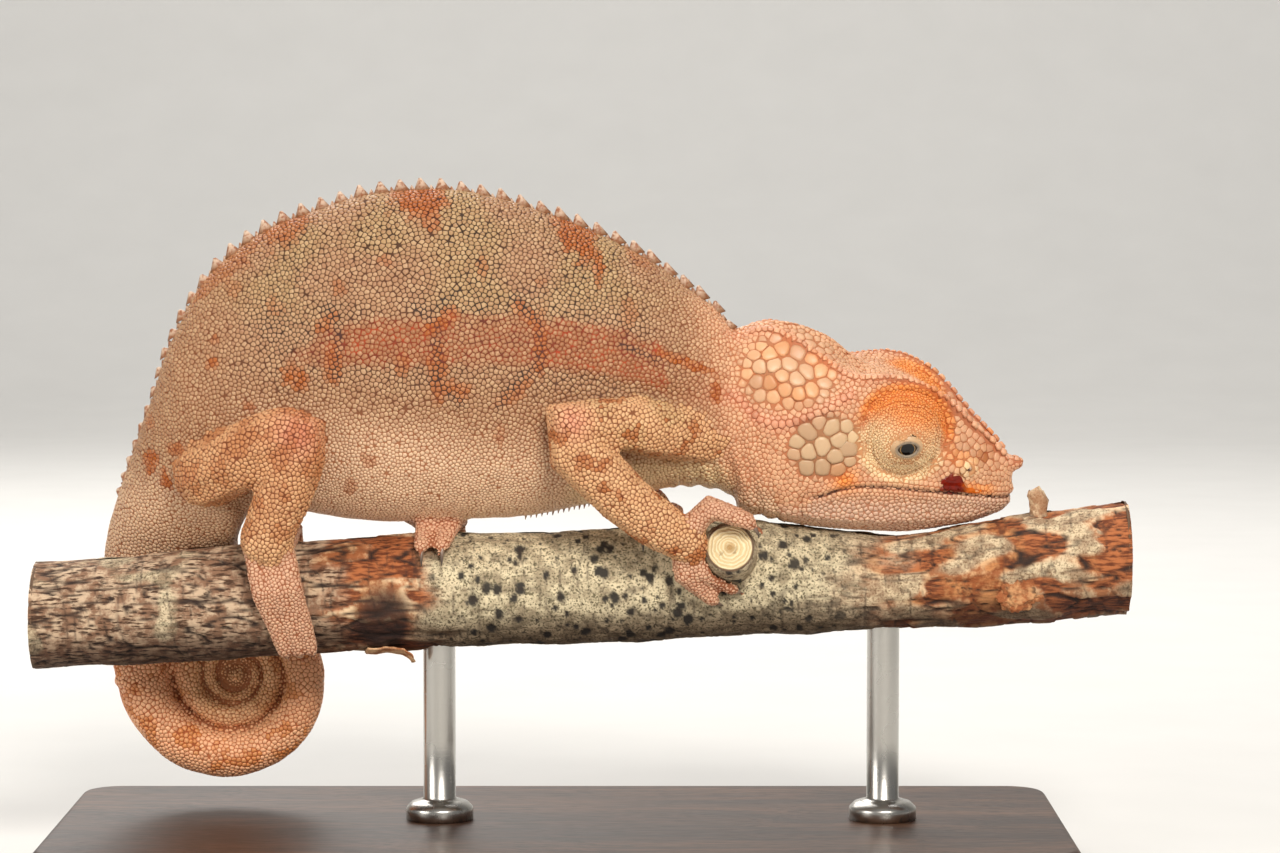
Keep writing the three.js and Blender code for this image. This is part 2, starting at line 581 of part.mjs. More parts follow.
// cuts down the trunk, from the head back: the piece ahead of each is on the right of p to q
const trunkCuts = [
  ['neck', 'scales', [17.5, 50], [14, 95]],
  ['chest', 'scales', [-5, 45], [-6, 110]],
  ['belly', 'belly', [-28, 45], [-36, 110]],
  ['hips', 'scales', [-42, 44], [-68, 76]],
  ['tail_base', 'scales', [-44, 40.5], [-74, 42.5]],
];
let rest = neckAndTrunk;
for (const [name, finish, p, q] of trunkCuts) {
  const [behind, ahead] = part(rest, p, q);
  keep(name, finish, carve(ahead, branchRoom));
  rest = behind;
}
keep('tail_drop', 'scales', carve(rest, branchRoom));
const coilCuts = {
  coil_outer: [0.012, 0.5, 9],
  coil_rear: [0.507, 1, 8],
  coil_middle: [1.012, 2, 14],
  coil_tip: [2.02, coilTurns, 15],
};
for (const [name, [n0, n1, rows]] of Object.entries(coilCuts)) {
  keep(name, 'scales', solid(loft(coilRings(n0, n1, rows))));
}

const bodyRoom = body(gap);
for (const { names, stops, joint, inner, outer, sole } of Object.values(legs)) {
  const whole = limb(stops);
  const room = limb(stops, { grow: gap });
  const [upper, lower] = part(whole, ...joint);
  keep(names[0], 'limb', carve(upper, bodyRoom, branchRoom));
  keep(names[1], 'limb', carve(lower, bodyRoom, branchRoom));
  keep(names[2], 'limb', carve(toes(inner, sole), room, bodyRoom, branchRoom));
  keep(names[3], 'limb', carve(toes(outer), room, toes(inner, sole, gap), bodyRoom,
    branchRoom));
}

export default model;
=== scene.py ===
# %% [markdown]
# # A chameleon on its branch
# The object is a life-size model of an adult female chameleon that grips a cut length of branch,
# on a plain stand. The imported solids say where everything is, so they are loaded first and never
# moved. What is made below is one skin over them, a coat of scales on the skin, and the hard
# pieces: eyes, claws, crest, bark, wood and steel.

import math

import bmesh
import bpy
import numpy as np
from mathutils import Matrix, Vector, noise
from mathutils.bvhtree import BVHTree
from mathutils.kdtree import KDTree


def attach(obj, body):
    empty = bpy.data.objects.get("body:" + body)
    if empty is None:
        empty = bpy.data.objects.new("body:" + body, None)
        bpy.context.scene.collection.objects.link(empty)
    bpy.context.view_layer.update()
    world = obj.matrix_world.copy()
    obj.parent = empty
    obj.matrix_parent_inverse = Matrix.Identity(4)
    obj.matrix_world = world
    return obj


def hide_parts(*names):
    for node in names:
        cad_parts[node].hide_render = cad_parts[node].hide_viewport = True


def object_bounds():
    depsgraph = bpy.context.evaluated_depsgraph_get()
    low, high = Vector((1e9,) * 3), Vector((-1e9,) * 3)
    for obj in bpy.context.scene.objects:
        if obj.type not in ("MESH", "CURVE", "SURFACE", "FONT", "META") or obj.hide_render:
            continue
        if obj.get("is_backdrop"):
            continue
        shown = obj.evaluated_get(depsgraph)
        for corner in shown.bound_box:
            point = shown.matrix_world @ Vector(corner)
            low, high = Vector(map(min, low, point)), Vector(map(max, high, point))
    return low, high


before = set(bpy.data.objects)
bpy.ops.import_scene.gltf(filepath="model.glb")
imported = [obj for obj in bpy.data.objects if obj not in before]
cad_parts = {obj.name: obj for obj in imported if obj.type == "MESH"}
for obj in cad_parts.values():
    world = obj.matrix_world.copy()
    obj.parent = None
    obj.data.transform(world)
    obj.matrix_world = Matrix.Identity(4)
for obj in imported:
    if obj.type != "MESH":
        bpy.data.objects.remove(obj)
cad_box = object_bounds()
MM = 0.001
chance = np.random.default_rng(11)
print("solids:", len(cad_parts))

# %% [markdown]
# ## Camera, floor and light
# A long lens from 60 cm away, level with the animal's flank and a little above it, keeps its
# proportions as they are. One large soft lamp at the front gives form to the scales, a second
# from the side fills the shadows. The floor is one pale sheet that curves up behind like a
# photographer's paper sweep, so no horizon line crosses the picture.

# %% Camera
AIM = Vector((11.85, 0, 66.63)) * MM
camera_data = bpy.data.cameras.new("camera")
camera_data.lens = 113.9
camera_data.sensor_width = 36
camera_data.clip_start = 0.01
camera = bpy.data.objects.new("camera", camera_data)
rise = math.radians(4)
camera.location = AIM + 0.6 * Vector((0, -math.cos(rise), math.sin(rise)))
camera.rotation_euler = (AIM - camera.location).to_track_quat("-Z", "Y").to_euler()
bpy.context.scene.collection.objects.link(camera)
bpy.context.scene.camera = camera


# %% Lamps and room
def lamp(name, place, aim, size, watts, colour):
    """A square area lamp that points from place at aim, both in millimetres."""
    light = bpy.data.lights.new(name, "AREA")
    light.size = size * MM
    light.energy = watts
    light.color = colour
    thing = bpy.data.objects.new(name, light)
    thing.location = Vector(place) * MM
    thing.rotation_euler = (Vector(aim) * MM - thing.location).to_track_quat("-Z", "Y").to_euler()
    bpy.context.scene.collection.objects.link(thing)


lamp("key_lamp", (160, -620, 460), (0, 0, 60), 220, 5.0, (1.0, 0.96, 0.90))
lamp("side_lamp", (-560, -380, 260), (0, 0, 60), 320, 1.5, (1.0, 0.97, 0.93))
lamp("back_lamp", (-200, 560, 520), (0, 0, 70), 400, 2.2, (1.0, 0.98, 0.95))
lamp("backdrop_lamp", (0, 300, 900), (0, 1300, 100), 900, 8.0, (1.0, 0.99, 0.98))

# the plain transform shows a colour as it was chosen, without a film look over it
bpy.context.scene.view_settings.view_transform = "Standard"
world = bpy.data.worlds.new("room")
bpy.context.scene.world = world
world.use_nodes = True
world.node_tree.nodes["Background"].inputs["Color"].default_value = (0.76, 0.76, 0.75, 1)
world.node_tree.nodes["Background"].inputs["Strength"].default_value = 0.27

# %% [markdown]
# ## Materials from nodes
# Every finish is a Principled shader with textures worked out in space. One function adds a node
# with its settings and links, and one turns a paint-chip colour into the linear values that a
# renderer adds up.

# %% Colours and nodes
def linear(code):
    """Linear red, green and blue, with an alpha of one, from an sRGB hex colour."""
    parts = [int(code[i:i + 2], 16) / 255 for i in (1, 3, 5)]
    return [c / 12.92 if c <= 0.04045 else ((c + 0.055) / 1.055) ** 2.4 for c in parts] + [1]


def add(tree, kind, settings={}, out=0, **sockets):
    """Adds a shader node and gives back one of its outputs. A socket takes a link or a value."""
    made = tree.nodes.new("ShaderNode" + kind)
    for key, value in settings.items():
        setattr(made, key, value)
    for key, value in sockets.items():
        socket = made.inputs[int(key[1:])] if key[1:].isdigit() else made.inputs[key.replace("_", " ")]
        if isinstance(value, bpy.types.NodeSocket):
            tree.links.new(value, socket)
        else:
            socket.default_value = linear(value) if isinstance(value, str) else value
    return made.outputs[out] if made.outputs else made


def new_material(name):
    """An empty node material and its tree."""
    made = bpy.data.materials.new(name)
    made.use_nodes = True
    made.node_tree.nodes.clear()
    return made, made.node_tree


# settings that many nodes share: two ways to mix colours, and a step with soft ends
MIXED = {"data_type": "RGBA"}
MULTIPLIED = {"data_type": "RGBA", "blend_type": "MULTIPLY"}
SOFT = {"interpolation_type": "SMOOTHSTEP"}


# %% Floor
floor_mesh = bpy.data.meshes.new("floor")
sheet = bmesh.new()
bmesh.ops.create_grid(sheet, x_segments=2, y_segments=60, size=3)
for vertex in sheet.verts:
    past = max(0, vertex.co.y - 0.9)
    turn = min(past / 0.5, math.pi / 2)
    vertex.co.y = min(vertex.co.y, 0.9) + 0.5 * math.sin(turn)
    vertex.co.z = 0.5 * (1 - math.cos(turn)) + max(0, past - 0.25 * math.pi)
    vertex.co.x *= 2
for face in sheet.faces:
    face.smooth = True
sheet.to_mesh(floor_mesh)
sheet.free()
floor = bpy.data.objects.new("floor", floor_mesh)
bpy.context.scene.collection.objects.link(floor)
paint, tree = new_material("matt_studio_paint")
spots = add(tree, "TexNoise", Scale=40.0, Detail=3.0, Vector=add(tree, "TexCoord", {}, "Object"))
tone = add(tree, "Mix", MIXED, 2, s0=spots, s6="#dcdad6", s7="#e3e1dd")
add(tree, "OutputMaterial", Surface=add(tree, "BsdfPrincipled", Base_Color=tone, Roughness=0.9))
floor_mesh.materials.append(paint)
floor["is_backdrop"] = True

# %% [markdown]
# ## Working in millimetres
# Shapes are worked out in millimetres and scaled to metres when a piece is finished. A finished
# piece rides on the model's one body, and hides the solids that it stands for.

# %% Finish a piece
def finish(name, mesh, material, slot, *stands_for):
    """Makes an object of a mesh in millimetres, with its place in its mesh."""
    mesh.name = name
    mesh.transform(Matrix.Scale(MM, 4))
    mesh.materials.clear()
    mesh.materials.append(material)
    mesh.polygons.foreach_set("use_smooth", np.ones(len(mesh.polygons), bool))
    thing = bpy.data.objects.new(name, mesh)
    bpy.context.scene.collection.objects.link(thing)
    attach(thing, "root")
    if stands_for:
        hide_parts(*stands_for)
    triangles = sum(len(p.vertices) - 2 for p in mesh.polygons)
    print(f"{name}: {len(mesh.vertices)} vertices, {triangles} triangles")
    return thing


def to_mesh(shape):
    """A mesh from a bmesh, whose faces are turned outwards first."""
    bmesh.ops.recalc_face_normals(shape, faces=shape.faces)
    mesh = bpy.data.meshes.new("piece")
    shape.to_mesh(mesh)
    shape.free()
    return mesh


def absorb(shape, part):
    """Adds a finished bmesh to another one."""
    mesh = to_mesh(part)
    shape.from_mesh(mesh)
    bpy.data.meshes.remove(mesh)


def spun(profile, steps, centre=(0, 0, 0), axis=(0, 0, 1)):
    """A bmesh of a line of corners turned once round an axis, as on a lathe."""
    shape = bmesh.new()
    corners = [shape.verts.new(place) for place in profile]
    line = [shape.edges.new(pair) for pair in zip(corners, corners[1:])]
    bmesh.ops.spin(shape, geom=corners + line, cent=centre, axis=axis, angle=2 * math.pi,
                   steps=steps, use_merge=True)
    bmesh.ops.remove_doubles(shape, verts=shape.verts, dist=1e-4)
    return shape


# %% Read, move and roll up meshes
def rolled_grid(along, around):
    """A flat grid to roll into a tube, and each corner's share along it and angle round it."""
    shape = bmesh.new()
    bmesh.ops.create_grid(shape, x_segments=along, y_segments=around, size=1)
    spots = np.array([v.co for v in shape.verts])
    return shape, (spots[:, 0] + 1) / 2, (spots[:, 1] + 1) * np.pi


def put(shape, places):
    """Moves the corners of a bmesh to new places."""
    for vertex, place in zip(shape.verts, places):
        vertex.co = place


def read(mesh, what="co"):
    """A mesh's vertex places or normals as rows."""
    rows = np.empty(3 * len(mesh.vertices))
    mesh.vertices.foreach_get(what, rows)
    return rows.reshape(-1, 3)


def write(mesh, places):
    """Puts a mesh's vertices in new places."""
    mesh.vertices.foreach_set("co", np.asarray(places, float).ravel())
    mesh.update()


# %% Lines, steps and noise
def smooth_line(stops):
    """A smooth function through rows of [t, value, value, ...]."""
    t = np.array([s[0] for s in stops], float)
    values = np.array([s[1:] for s in stops], float)
    slope = np.gradient(values, t, axis=0)

    def at(x):
        x = np.clip(np.asarray(x, float), t[0], t[-1])
        i = np.clip(np.searchsorted(t, x) - 1, 0, len(t) - 2)
        step = (t[i + 1] - t[i])[..., None]
        s = (x[..., None] - t[i][..., None]) / step
        return (values[i] * (1 + 2 * s) * (1 - s) ** 2 + values[i + 1] * s * s * (3 - 2 * s)
                + step * (slope[i] * s * (1 - s) ** 2 + slope[i + 1] * s * s * (s - 1)))
    return at


def soft(x, low, high):
    """0 below low, 1 above high and a smooth step between them. High may be below low."""
    s = np.clip((x - low) / (high - low), 0, 1)
    return s * s * (3 - 2 * s)


def field(places, size, seed=0.0):
    """Smooth noise from -1 to 1, with lumps about size millimetres across."""
    shift = Vector((seed, seed * 0.7, -seed))
    return np.array([noise.noise(Vector(p) / size + shift) for p in places])


def unit(rows):
    """Rows scaled to a length of one."""
    return rows / np.maximum(np.linalg.norm(rows, axis=-1, keepdims=True), 1e-9)

# %% [markdown]
# ## The trunk
# The trunk is a tall, flat body that hangs between the legs and runs into the tail. Its sections
# are known by name, so a grid is wrapped round them: one way of the grid runs from nape to tail
# and the other round the body. That gives a smoother flank than the faceted solids have.

# %% Sections of the trunk
# [back x, back z, belly x, belly z, half width, side shift, roll in degrees], from nape to tail
TRUNK = [
    [31.4, 79.0, 34.0, 56.0, 7.4, -0.6, 12], [26.2, 80.7, 28.9, 55.2, 8.5, -0.4, 10],
    [23.1, 84.2, 24.0, 57.0, 9.0, 0, 6], [17.3, 88.5, 19.3, 57.8, 9.8, 0, 2],
    [11.3, 92.6, 12.6, 57.0, 11.0, 0, 0], [3.2, 96.3, 4.7, 55.2, 12.2, 0, 0],
    [-6.9, 99.8, -6.2, 53.2, 12.8, 0, 0], [-16.7, 101.7, -16.7, 52.8, 13.0, 0, 0],
    [-26.6, 101.3, -26.4, 52.5, 12.4, 0, 0], [-35.3, 98.9, -31.9, 52.9, 11.4, 0, 0],
    [-43.8, 95.5, -37.9, 54.0, 10.0, 0, 0], [-51.8, 89.0, -43.0, 54.4, 8.8, 0, 0],
    [-57.5, 79.6, -45.9, 53.8, 8.0, 0.3, 0], [-60.5, 70.8, -47.0, 52.4, 7.5, 1.0, 0],
    [-63.0, 64.6, -47.9, 50.4, 7.0, 3.0, 0], [-66.5, 55.6, -48.8, 47.2, 6.4, 7.6, 0],
    [-69.4, 46.5, -51.0, 41.6, 5.7, 12.4, 0], [-69.5, 36.6, -58.2, 36.4, 4.9, 14.0, 0],
    [-68.1, 28.1, -60.0, 28.1, 4.1, 14.0, 0], [-67.9, 26.4, -60.0, 26.6, 4.1, 14.0, 0],
]
LAST = len(TRUNK) - 1
trunk_line = smooth_line([[i, *row] for i, row in enumerate(TRUNK)])


def trunk_section(t):
    """Middle, way up to the back, way across and half width of the sections at t."""
    v = trunk_line(t)
    back = np.stack([v[..., 0], v[..., 5], v[..., 1]], -1)
    belly = np.stack([v[..., 2], v[..., 5], v[..., 3]], -1)
    up = (back - belly) / 2
    ahead = unit(np.stack([up[..., 2], 0 * up[..., 0], -up[..., 0]], -1))
    roll = np.radians(v[..., 6])[..., None]
    up = up * np.cos(roll) + np.cross(ahead, up) * np.sin(roll)
    return (back + belly) / 2, up, unit(np.cross(up, ahead)), v[..., 4]


GROW = 0.22      # each solid is grown by this before they are joined, which closes the gaps

trunk, share, turn = rolled_grid(180, 90)
t = share * LAST
middle, up, across, wide = trunk_section(t)
fullness = 1 - np.where(t < 12, 0.17, 0.05) * np.cos(turn)
tall = 1 + GROW / np.linalg.norm(up, axis=1)
put(trunk, middle + up * (np.cos(turn) * tall)[:, None]
    + across * (np.sin(turn) * fullness * (wide + GROW))[:, None])
bmesh.ops.remove_doubles(trunk, verts=trunk.verts, dist=1e-3)
bmesh.ops.holes_fill(trunk, edges=[e for e in trunk.edges if e.is_boundary])
bmesh.ops.recalc_face_normals(trunk, faces=trunk.faces)
print("trunk grid:", len(trunk.faces), "faces")

# %% The coiled end of the tail
COIL_POLE = np.array([-49.6, 14.0, 27.9])
COIL_RADIUS = 18.4
COIL_SHRINK = 0.53      # each turn lies this share of the way in
COIL_TURNS = 3.5


def coil_section(n):
    """Middle, way out from the pole and half thickness of the tail after n turns."""
    outside = COIL_RADIUS * COIL_SHRINK ** n
    inside = outside * COIL_SHRINK + 0.14
    taper = np.maximum(soft(COIL_TURNS - n, 0, 0.22), 0.25)
    angle = np.pi + 2 * np.pi * n
    out = np.stack([np.cos(angle), 0 * n, np.sin(angle)], -1)
    return COIL_POLE + out * ((outside + inside) / 2)[..., None], out, (outside - inside) / 2 * taper


def coil_line(places):
    """From 0 to 1, how near each place is to the groove between two turns of the coil."""
    across = places - COIL_POLE
    radius = np.hypot(across[:, 0], across[:, 2])
    n = (np.arctan2(across[:, 2], across[:, 0]) - np.pi) / (2 * np.pi) % 1
    away = np.full(len(places), 9.0)
    for turn in (1, 2, 3, 4):
        away = np.minimum(away, np.abs(radius - COIL_RADIUS * COIL_SHRINK ** (n + turn)))
    return np.exp(-(away / 0.5) ** 2)


coil, share, turn = rolled_grid(260, 44)
middle, out, wide = coil_section(share * COIL_TURNS)
put(coil, middle + wide[:, None] * (np.cos(turn)[:, None] * out
                                    + np.sin(turn)[:, None] * np.array([0, 0.94, 0])))
bmesh.ops.remove_doubles(coil, verts=coil.verts, dist=1e-3)
bmesh.ops.holes_fill(coil, edges=[e for e in coil.edges if e.is_boundary])
print("coil:", len(coil.faces), "faces")
absorb(trunk, coil)

# %% [markdown]
# ## One skin
# Head, neck, legs and toes come as copies of their solids, each grown a little so that it runs
# into its neighbours and into the lofted trunk and coil. The voxel remesh then turns all of it into
# a single closed skin, as a sculptor blends clay. Smoothing rounds the facets off. The pair of
# passes, one that shrinks and one that swells, keeps thin toes from wasting away.

# %% Grow and join the flesh
HEAD_BACK = np.array([27.4, 2.1, 58.4])      # the back of the head, where its own frame starts
LEAN = math.radians(12)                      # its lean towards the right flank
TURN_HEAD = np.array([[1, 0, 0], [0, math.cos(LEAN), -math.sin(LEAN)],
                      [0, math.sin(LEAN), math.cos(LEAN)]])
FLESH = [n for n in sorted(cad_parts) if not n.startswith(("perch", "stand_", "eye_"))]
LOFTED = {"chest", "belly", "hips", "tail_base", "tail_drop", "coil_outer", "coil_rear",
          "coil_middle", "coil_tip"}


def solid_copy(node):
    """A bmesh of a node's solid in millimetres, with its loose triangles joined up."""
    shape = bmesh.new()
    shape.from_mesh(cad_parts[node].data)
    bmesh.ops.scale(shape, vec=(1 / MM,) * 3, verts=shape.verts)
    bmesh.ops.remove_doubles(shape, verts=shape.verts, dist=1e-4)
    bmesh.ops.recalc_face_normals(shape, faces=shape.faces)
    shape.normal_update()
    return shape


joined = trunk
# the soft blunt knob at the tip of the snout
knob = bmesh.ops.create_icosphere(joined, subdivisions=3, radius=1)["verts"]
for vertex in knob:
    x, y, z = vertex.co
    vertex.co = TURN_HEAD @ [39.6 + 2.1 * x, 1.4 * y, 2.7 + 1.35 * z + 0.15 * x] + HEAD_BACK
# the very tip of the tail, curled shut at the pole of the coil
curled = bmesh.ops.create_icosphere(joined, subdivisions=3, radius=1)["verts"]
for vertex in curled:
    vertex.co = Vector(COIL_POLE + np.array(vertex.co) * [2.1, 1.15, 2.1])
for node in FLESH:
    if node in LOFTED:
        continue
    shape = solid_copy(node)
    moves = [v.normal * GROW * min(v.calc_shell_factor(), 1.6) for v in shape.verts]
    for vertex, move in zip(shape.verts, moves):
        vertex.co += move
    absorb(joined, shape)

VOXEL = 0.42
clay = bpy.data.objects.new("clay", to_mesh(joined))
bpy.context.scene.collection.objects.link(clay)
remesh = clay.modifiers.new("remesh", "REMESH")
remesh.mode = "VOXEL"
remesh.voxel_size = VOXEL
skin = bpy.data.meshes.new_from_object(clay.evaluated_get(bpy.context.evaluated_depsgraph_get()))
bpy.data.objects.remove(clay)

# %% Keep the outer shell
# a pocket of air between two solids would leave a bubble inside, so only the largest shell stays
shell = bmesh.new()
shell.from_mesh(skin)
left, shells = set(shell.verts), []
while left:
    front = [left.pop()]
    group = list(front)
    while front:
        for edge in front.pop().link_edges:
            for vertex in edge.verts:
                if vertex in left:
                    left.discard(vertex)
                    front.append(vertex)
                    group.append(vertex)
    shells.append(group)
shells.sort(key=len)
bmesh.ops.delete(shell, geom=[v for group in shells[:-1] for v in group], context="VERTS")
skin = to_mesh(shell)
print("skin:", len(skin.vertices), "vertices,", len(shells) - 1, "bubbles removed")

# %% Which solid each point belongs to
marks, owners = [], []
for index, node in enumerate(FLESH):
    shape = solid_copy(node)
    for face in shape.faces:
        corners = np.array([v.co for v in face.verts])
        count = max(2, int(face.calc_area() / 0.6))
        weights = chance.dirichlet((1, 1, 1), count)
        marks.extend(weights @ corners)
        owners.extend([index] * count)
    shape.free()


def cloud_of(places):
    """A search tree of places, which finds the nearest of them."""
    cloud = KDTree(len(places))
    for index, place in enumerate(places):
        cloud.insert(place, index)
    cloud.balance()
    return cloud


finder = cloud_of(marks)
owners = np.array(owners)


def owner(places):
    """The index in FLESH of the solid nearest each place."""
    return owners[[finder.find(p)[1] for p in places]]


def kind(index, *words):
    """Whether each point's solid has one of these words in its name."""
    hit = np.array([any(w in node for w in words) for node in FLESH])
    return hit[index]


# %% Smooth the facets away
def smooth(places, edges, weight, passes):
    """Moves points towards the middle of their neighbours and a little less far back."""
    count = len(places)
    share = 1 / np.maximum(np.bincount(edges.ravel(), minlength=count), 1)
    for _ in range(passes):
        for push in (0.55, -0.57):
            total = np.stack([
                np.bincount(edges[:, 0], places[edges[:, 1], k], count)
                + np.bincount(edges[:, 1], places[edges[:, 0], k], count) for k in range(3)], 1)
            places = places + push * weight[:, None] * (total * share[:, None] - places)
    return places


edges = np.empty(2 * len(skin.edges), int)
skin.edges.foreach_get("vertices", edges)
edges = edges.reshape(-1, 2)
places = read(skin)
belongs = owner(places)
on_toes = kind(belongs, "toes")
on_head = kind(belongs, "head", "jaw", "eyelid")
weight = np.where(on_toes, 0.75, 1.0)
on_coil = kind(belongs, "coil")
places = smooth(places, edges, np.where(on_coil, 0.5, weight), 9)
places = smooth(places, edges, np.where(on_toes | on_head | on_coil, 0.0, 1.0), 22)
write(skin, places)
print("smoothed")

# %% [markdown]
# ## The head's own frame
# The head leans a little towards the right flank, so its features are placed in a frame of its
# own: x forward from the back of the casque, z up from the lips. The named lines are where its
# ridges and lips run.

# %% The head's lines
def from_head(rows):
    """Places in the model's frame from places in the head's frame."""
    return np.asarray(rows, float) @ TURN_HEAD.T + HEAD_BACK


def in_head(rows):
    """Places in the head's frame from places in the model's frame."""
    return (np.asarray(rows, float) - HEAD_BACK) @ TURN_HEAD


# [x, half width, height]
RIDGE = smooth_line([[-2, 1.6, 22.7], [3, 2.2, 23.9], [7, 3.2, 22.7], [11, 4.7, 20.3],
    [15.4, 6.2, 17.8], [18.5, 7.0, 17.9], [21.5, 7.3, 18.0], [25.6, 6.9, 16.9], [29, 5.8, 14.5],
    [33.5, 3.4, 9.6], [37.5, 1.9, 5.6], [39.3, 1.3, 3.3]])
LIP = smooth_line([[-2, 8.4, 3.6], [5, 9.2, 0.6], [9.3, 9.2, 0], [15, 8.8, 1.5], [22, 8.2, 1.3],
    [27, 7.3, 0.5], [33, 5.4, -0.5], [37, 3.3, -1.5], [39.3, 2.0, -1.9]])
# the crest that runs back from above the eye to the side of the neck
TEMPLE = smooth_line([[-1.5, 7.2, 15.2], [1, 8.2, 12.6], [4.5, 9.2, 11.4], [9, 9.4, 12.6],
    [13, 8.6, 14.2], [15.5, 7.6, 15.6]])
TURRET = np.array([22.8, 5.5, 9.4])
TURRET_RADIUS = 6.3
EYE_RADIUS = 2.6
EYE_DEPTH = 3.7
GAZE = {"right": unit(np.array([0.1, -0.975, -0.2])), "left": unit(np.array([0.34, 0.93, 0.12]))}
SIDES = {"right": -1, "left": 1}
MOUTH_CORNER = 9.3
SNOUT = 39.3
NOSTRIL = (32.9, 3.5)      # x and z


def turret_frame(side):
    """Centre and gaze of a turret in the model's frame, with two ways across the gaze."""
    centre = from_head([TURRET * [1, SIDES[side], 1]])[0]
    gaze = TURN_HEAD @ GAZE[side]
    level = unit(np.cross([0, 0, 1], gaze))
    return centre, gaze, level, np.cross(gaze, level)


# %% Shape the face
def shape_face(places):
    """How far to move the skin outwards, in millimetres, for the features of the head."""
    q = in_head(places)
    x, y, z = q[:, 0], np.abs(q[:, 1]), q[:, 2]
    lip = LIP(x)[:, 1]
    above = z - lip
    mouth = soft(x, MOUTH_CORNER - 0.5, MOUTH_CORNER + 1.5) * soft(y, 0.2, 1.2)
    mouth = np.maximum(mouth, soft(x, 38.6, 39.6))
    move = -0.55 * np.exp(-(above / 0.30) ** 2) * mouth
    move += 0.30 * np.exp(-((above - 0.85) / 0.65) ** 2) * mouth
    move += 0.16 * np.exp(-((above + 0.95) / 0.7) ** 2) * mouth
    # the fold that curls down and forward behind the corner of the mouth
    corner = np.hypot(x - MOUTH_CORNER - 0.6, (z + 1.6) * 0.8)
    move -= 0.45 * np.exp(-((corner - 2.0) / 0.32) ** 2) * soft(x, 10.8, 8.6) * soft(z, 2.0, 0.0)
    # the hollow between the two brow crests and the hollow in front of the eye
    ridge = RIDGE(x)
    inside = soft(y, ridge[:, 0] * 0.95, ridge[:, 0] * 0.35) * soft(z, 6, 9)
    move -= 0.9 * inside * soft(x, 12, 17) * soft(x, 37, 31)
    near_ridge = np.hypot(y - ridge[:, 0], z - ridge[:, 1])
    move += 0.35 * np.exp(-(near_ridge / 0.9) ** 2) * soft(x, 0, 4)
    temple = TEMPLE(x)
    near_temple = np.hypot(y - temple[:, 0], z - temple[:, 1])
    move += 0.45 * np.exp(-(near_temple / 0.9) ** 2) * soft(x, 16.5, 14)
    # nostril: a raised ring round a small pit
    nostril = np.hypot(x - NOSTRIL[0], z - NOSTRIL[1])
    low_side = y > 2.5
    move += np.where(low_side, 0.42 * np.exp(-((nostril - 0.8) / 0.36) ** 2), 0)
    move -= np.where(low_side, 0.45 * np.exp(-(nostril / 0.36) ** 2), 0)
    return move


def shape_turrets(places):
    """Folds of the eyelid: shallow rings round the gaze and a deeper crease at its rim."""
    move = np.zeros(len(places))
    for side in SIDES:
        centre, gaze, _, _ = turret_frame(side)
        away = places - centre
        reach = np.linalg.norm(away, axis=1)
        angle = np.degrees(np.arccos(np.clip(away @ gaze / reach, -1, 1)))
        on_it = (reach < TURRET_RADIUS + 1.6) * soft(angle, 20, 34) * soft(angle, 112, 96)
        move += 0.15 * on_it * np.sin(np.radians(angle) * 39) * soft(angle, 34, 52)
        crease = np.exp(-((reach - TURRET_RADIUS - 0.45) / 0.4) ** 2)
        move -= 0.35 * crease * soft(angle, 55, 75) * (reach < TURRET_RADIUS + 1.2)
    return move


def shape_body(places, belongs):
    """Loose folds of the neck, armpit and groin, and the soft lumps of a living flank."""
    move = 0.22 * field(places, 7.0) + 0.07 * field(places, 2.2, 3.0)
    x, y, z = places.T
    neck = kind(belongs, "neck")
    fold = np.sin((x + 0.25 * (z - 60) + 0.5 * field(places, 6.0, 9.0)) * 2 * np.pi / 2.6)
    move += np.where(neck & (z < 74), 0.16 * fold, 0) * soft(z, 76, 66)
    armpit = np.exp(-((x - 14) / 9) ** 2 - ((z - 72.5 + 0.16 * (x - 14)) / 1.1) ** 2)
    move -= 0.5 * armpit * kind(belongs, "chest", "neck")
    groin = np.exp(-((x + 50) / 6) ** 2 - ((z - 66.5 - 0.35 * (x + 50)) / 1.0) ** 2)
    move -= 0.4 * groin * kind(belongs, "hips")
    return move - 0.55 * coil_line(places) * kind(belongs, "coil")


# %% Move the skin
COAT = 0.10      # the skin lies this far inside the solids, under the roots of the scales
SKIN_TRIANGLES = 190000
normals = read(skin, "normal")
places = read(skin)
belongs = owner(places)
on_head = kind(belongs, "head", "jaw", "eyelid")
move = np.where(on_head, shape_face(places) + shape_turrets(places), 0)
move += np.where(on_head, 0.05 * field(places, 2.0, 5.0), shape_body(places, belongs))
inset = np.where(kind(belongs, "toes"), GROW, np.where(kind(belongs, "coil"), COAT, GROW + COAT))
places = places + normals * (move - inset)[:, None]
write(skin, places)
thinning = bpy.data.objects.new("thinning", skin)
bpy.context.scene.collection.objects.link(thinning)
decimate = thinning.modifiers.new("decimate", "DECIMATE")
decimate.ratio = SKIN_TRIANGLES / (2 * len(skin.polygons))
thinner = bpy.data.meshes.new_from_object(thinning.evaluated_get(bpy.context.evaluated_depsgraph_get()))
bpy.data.objects.remove(thinning)
skin = thinner
places = read(skin)
normals = read(skin, "normal")
belongs = owner(places)
tree_of_skin = BVHTree.FromPolygons([Vector(p) for p in places],
                                    [p.vertices[:] for p in skin.polygons])
print("skin box:", places.min(0).round(1), places.max(0).round(1))
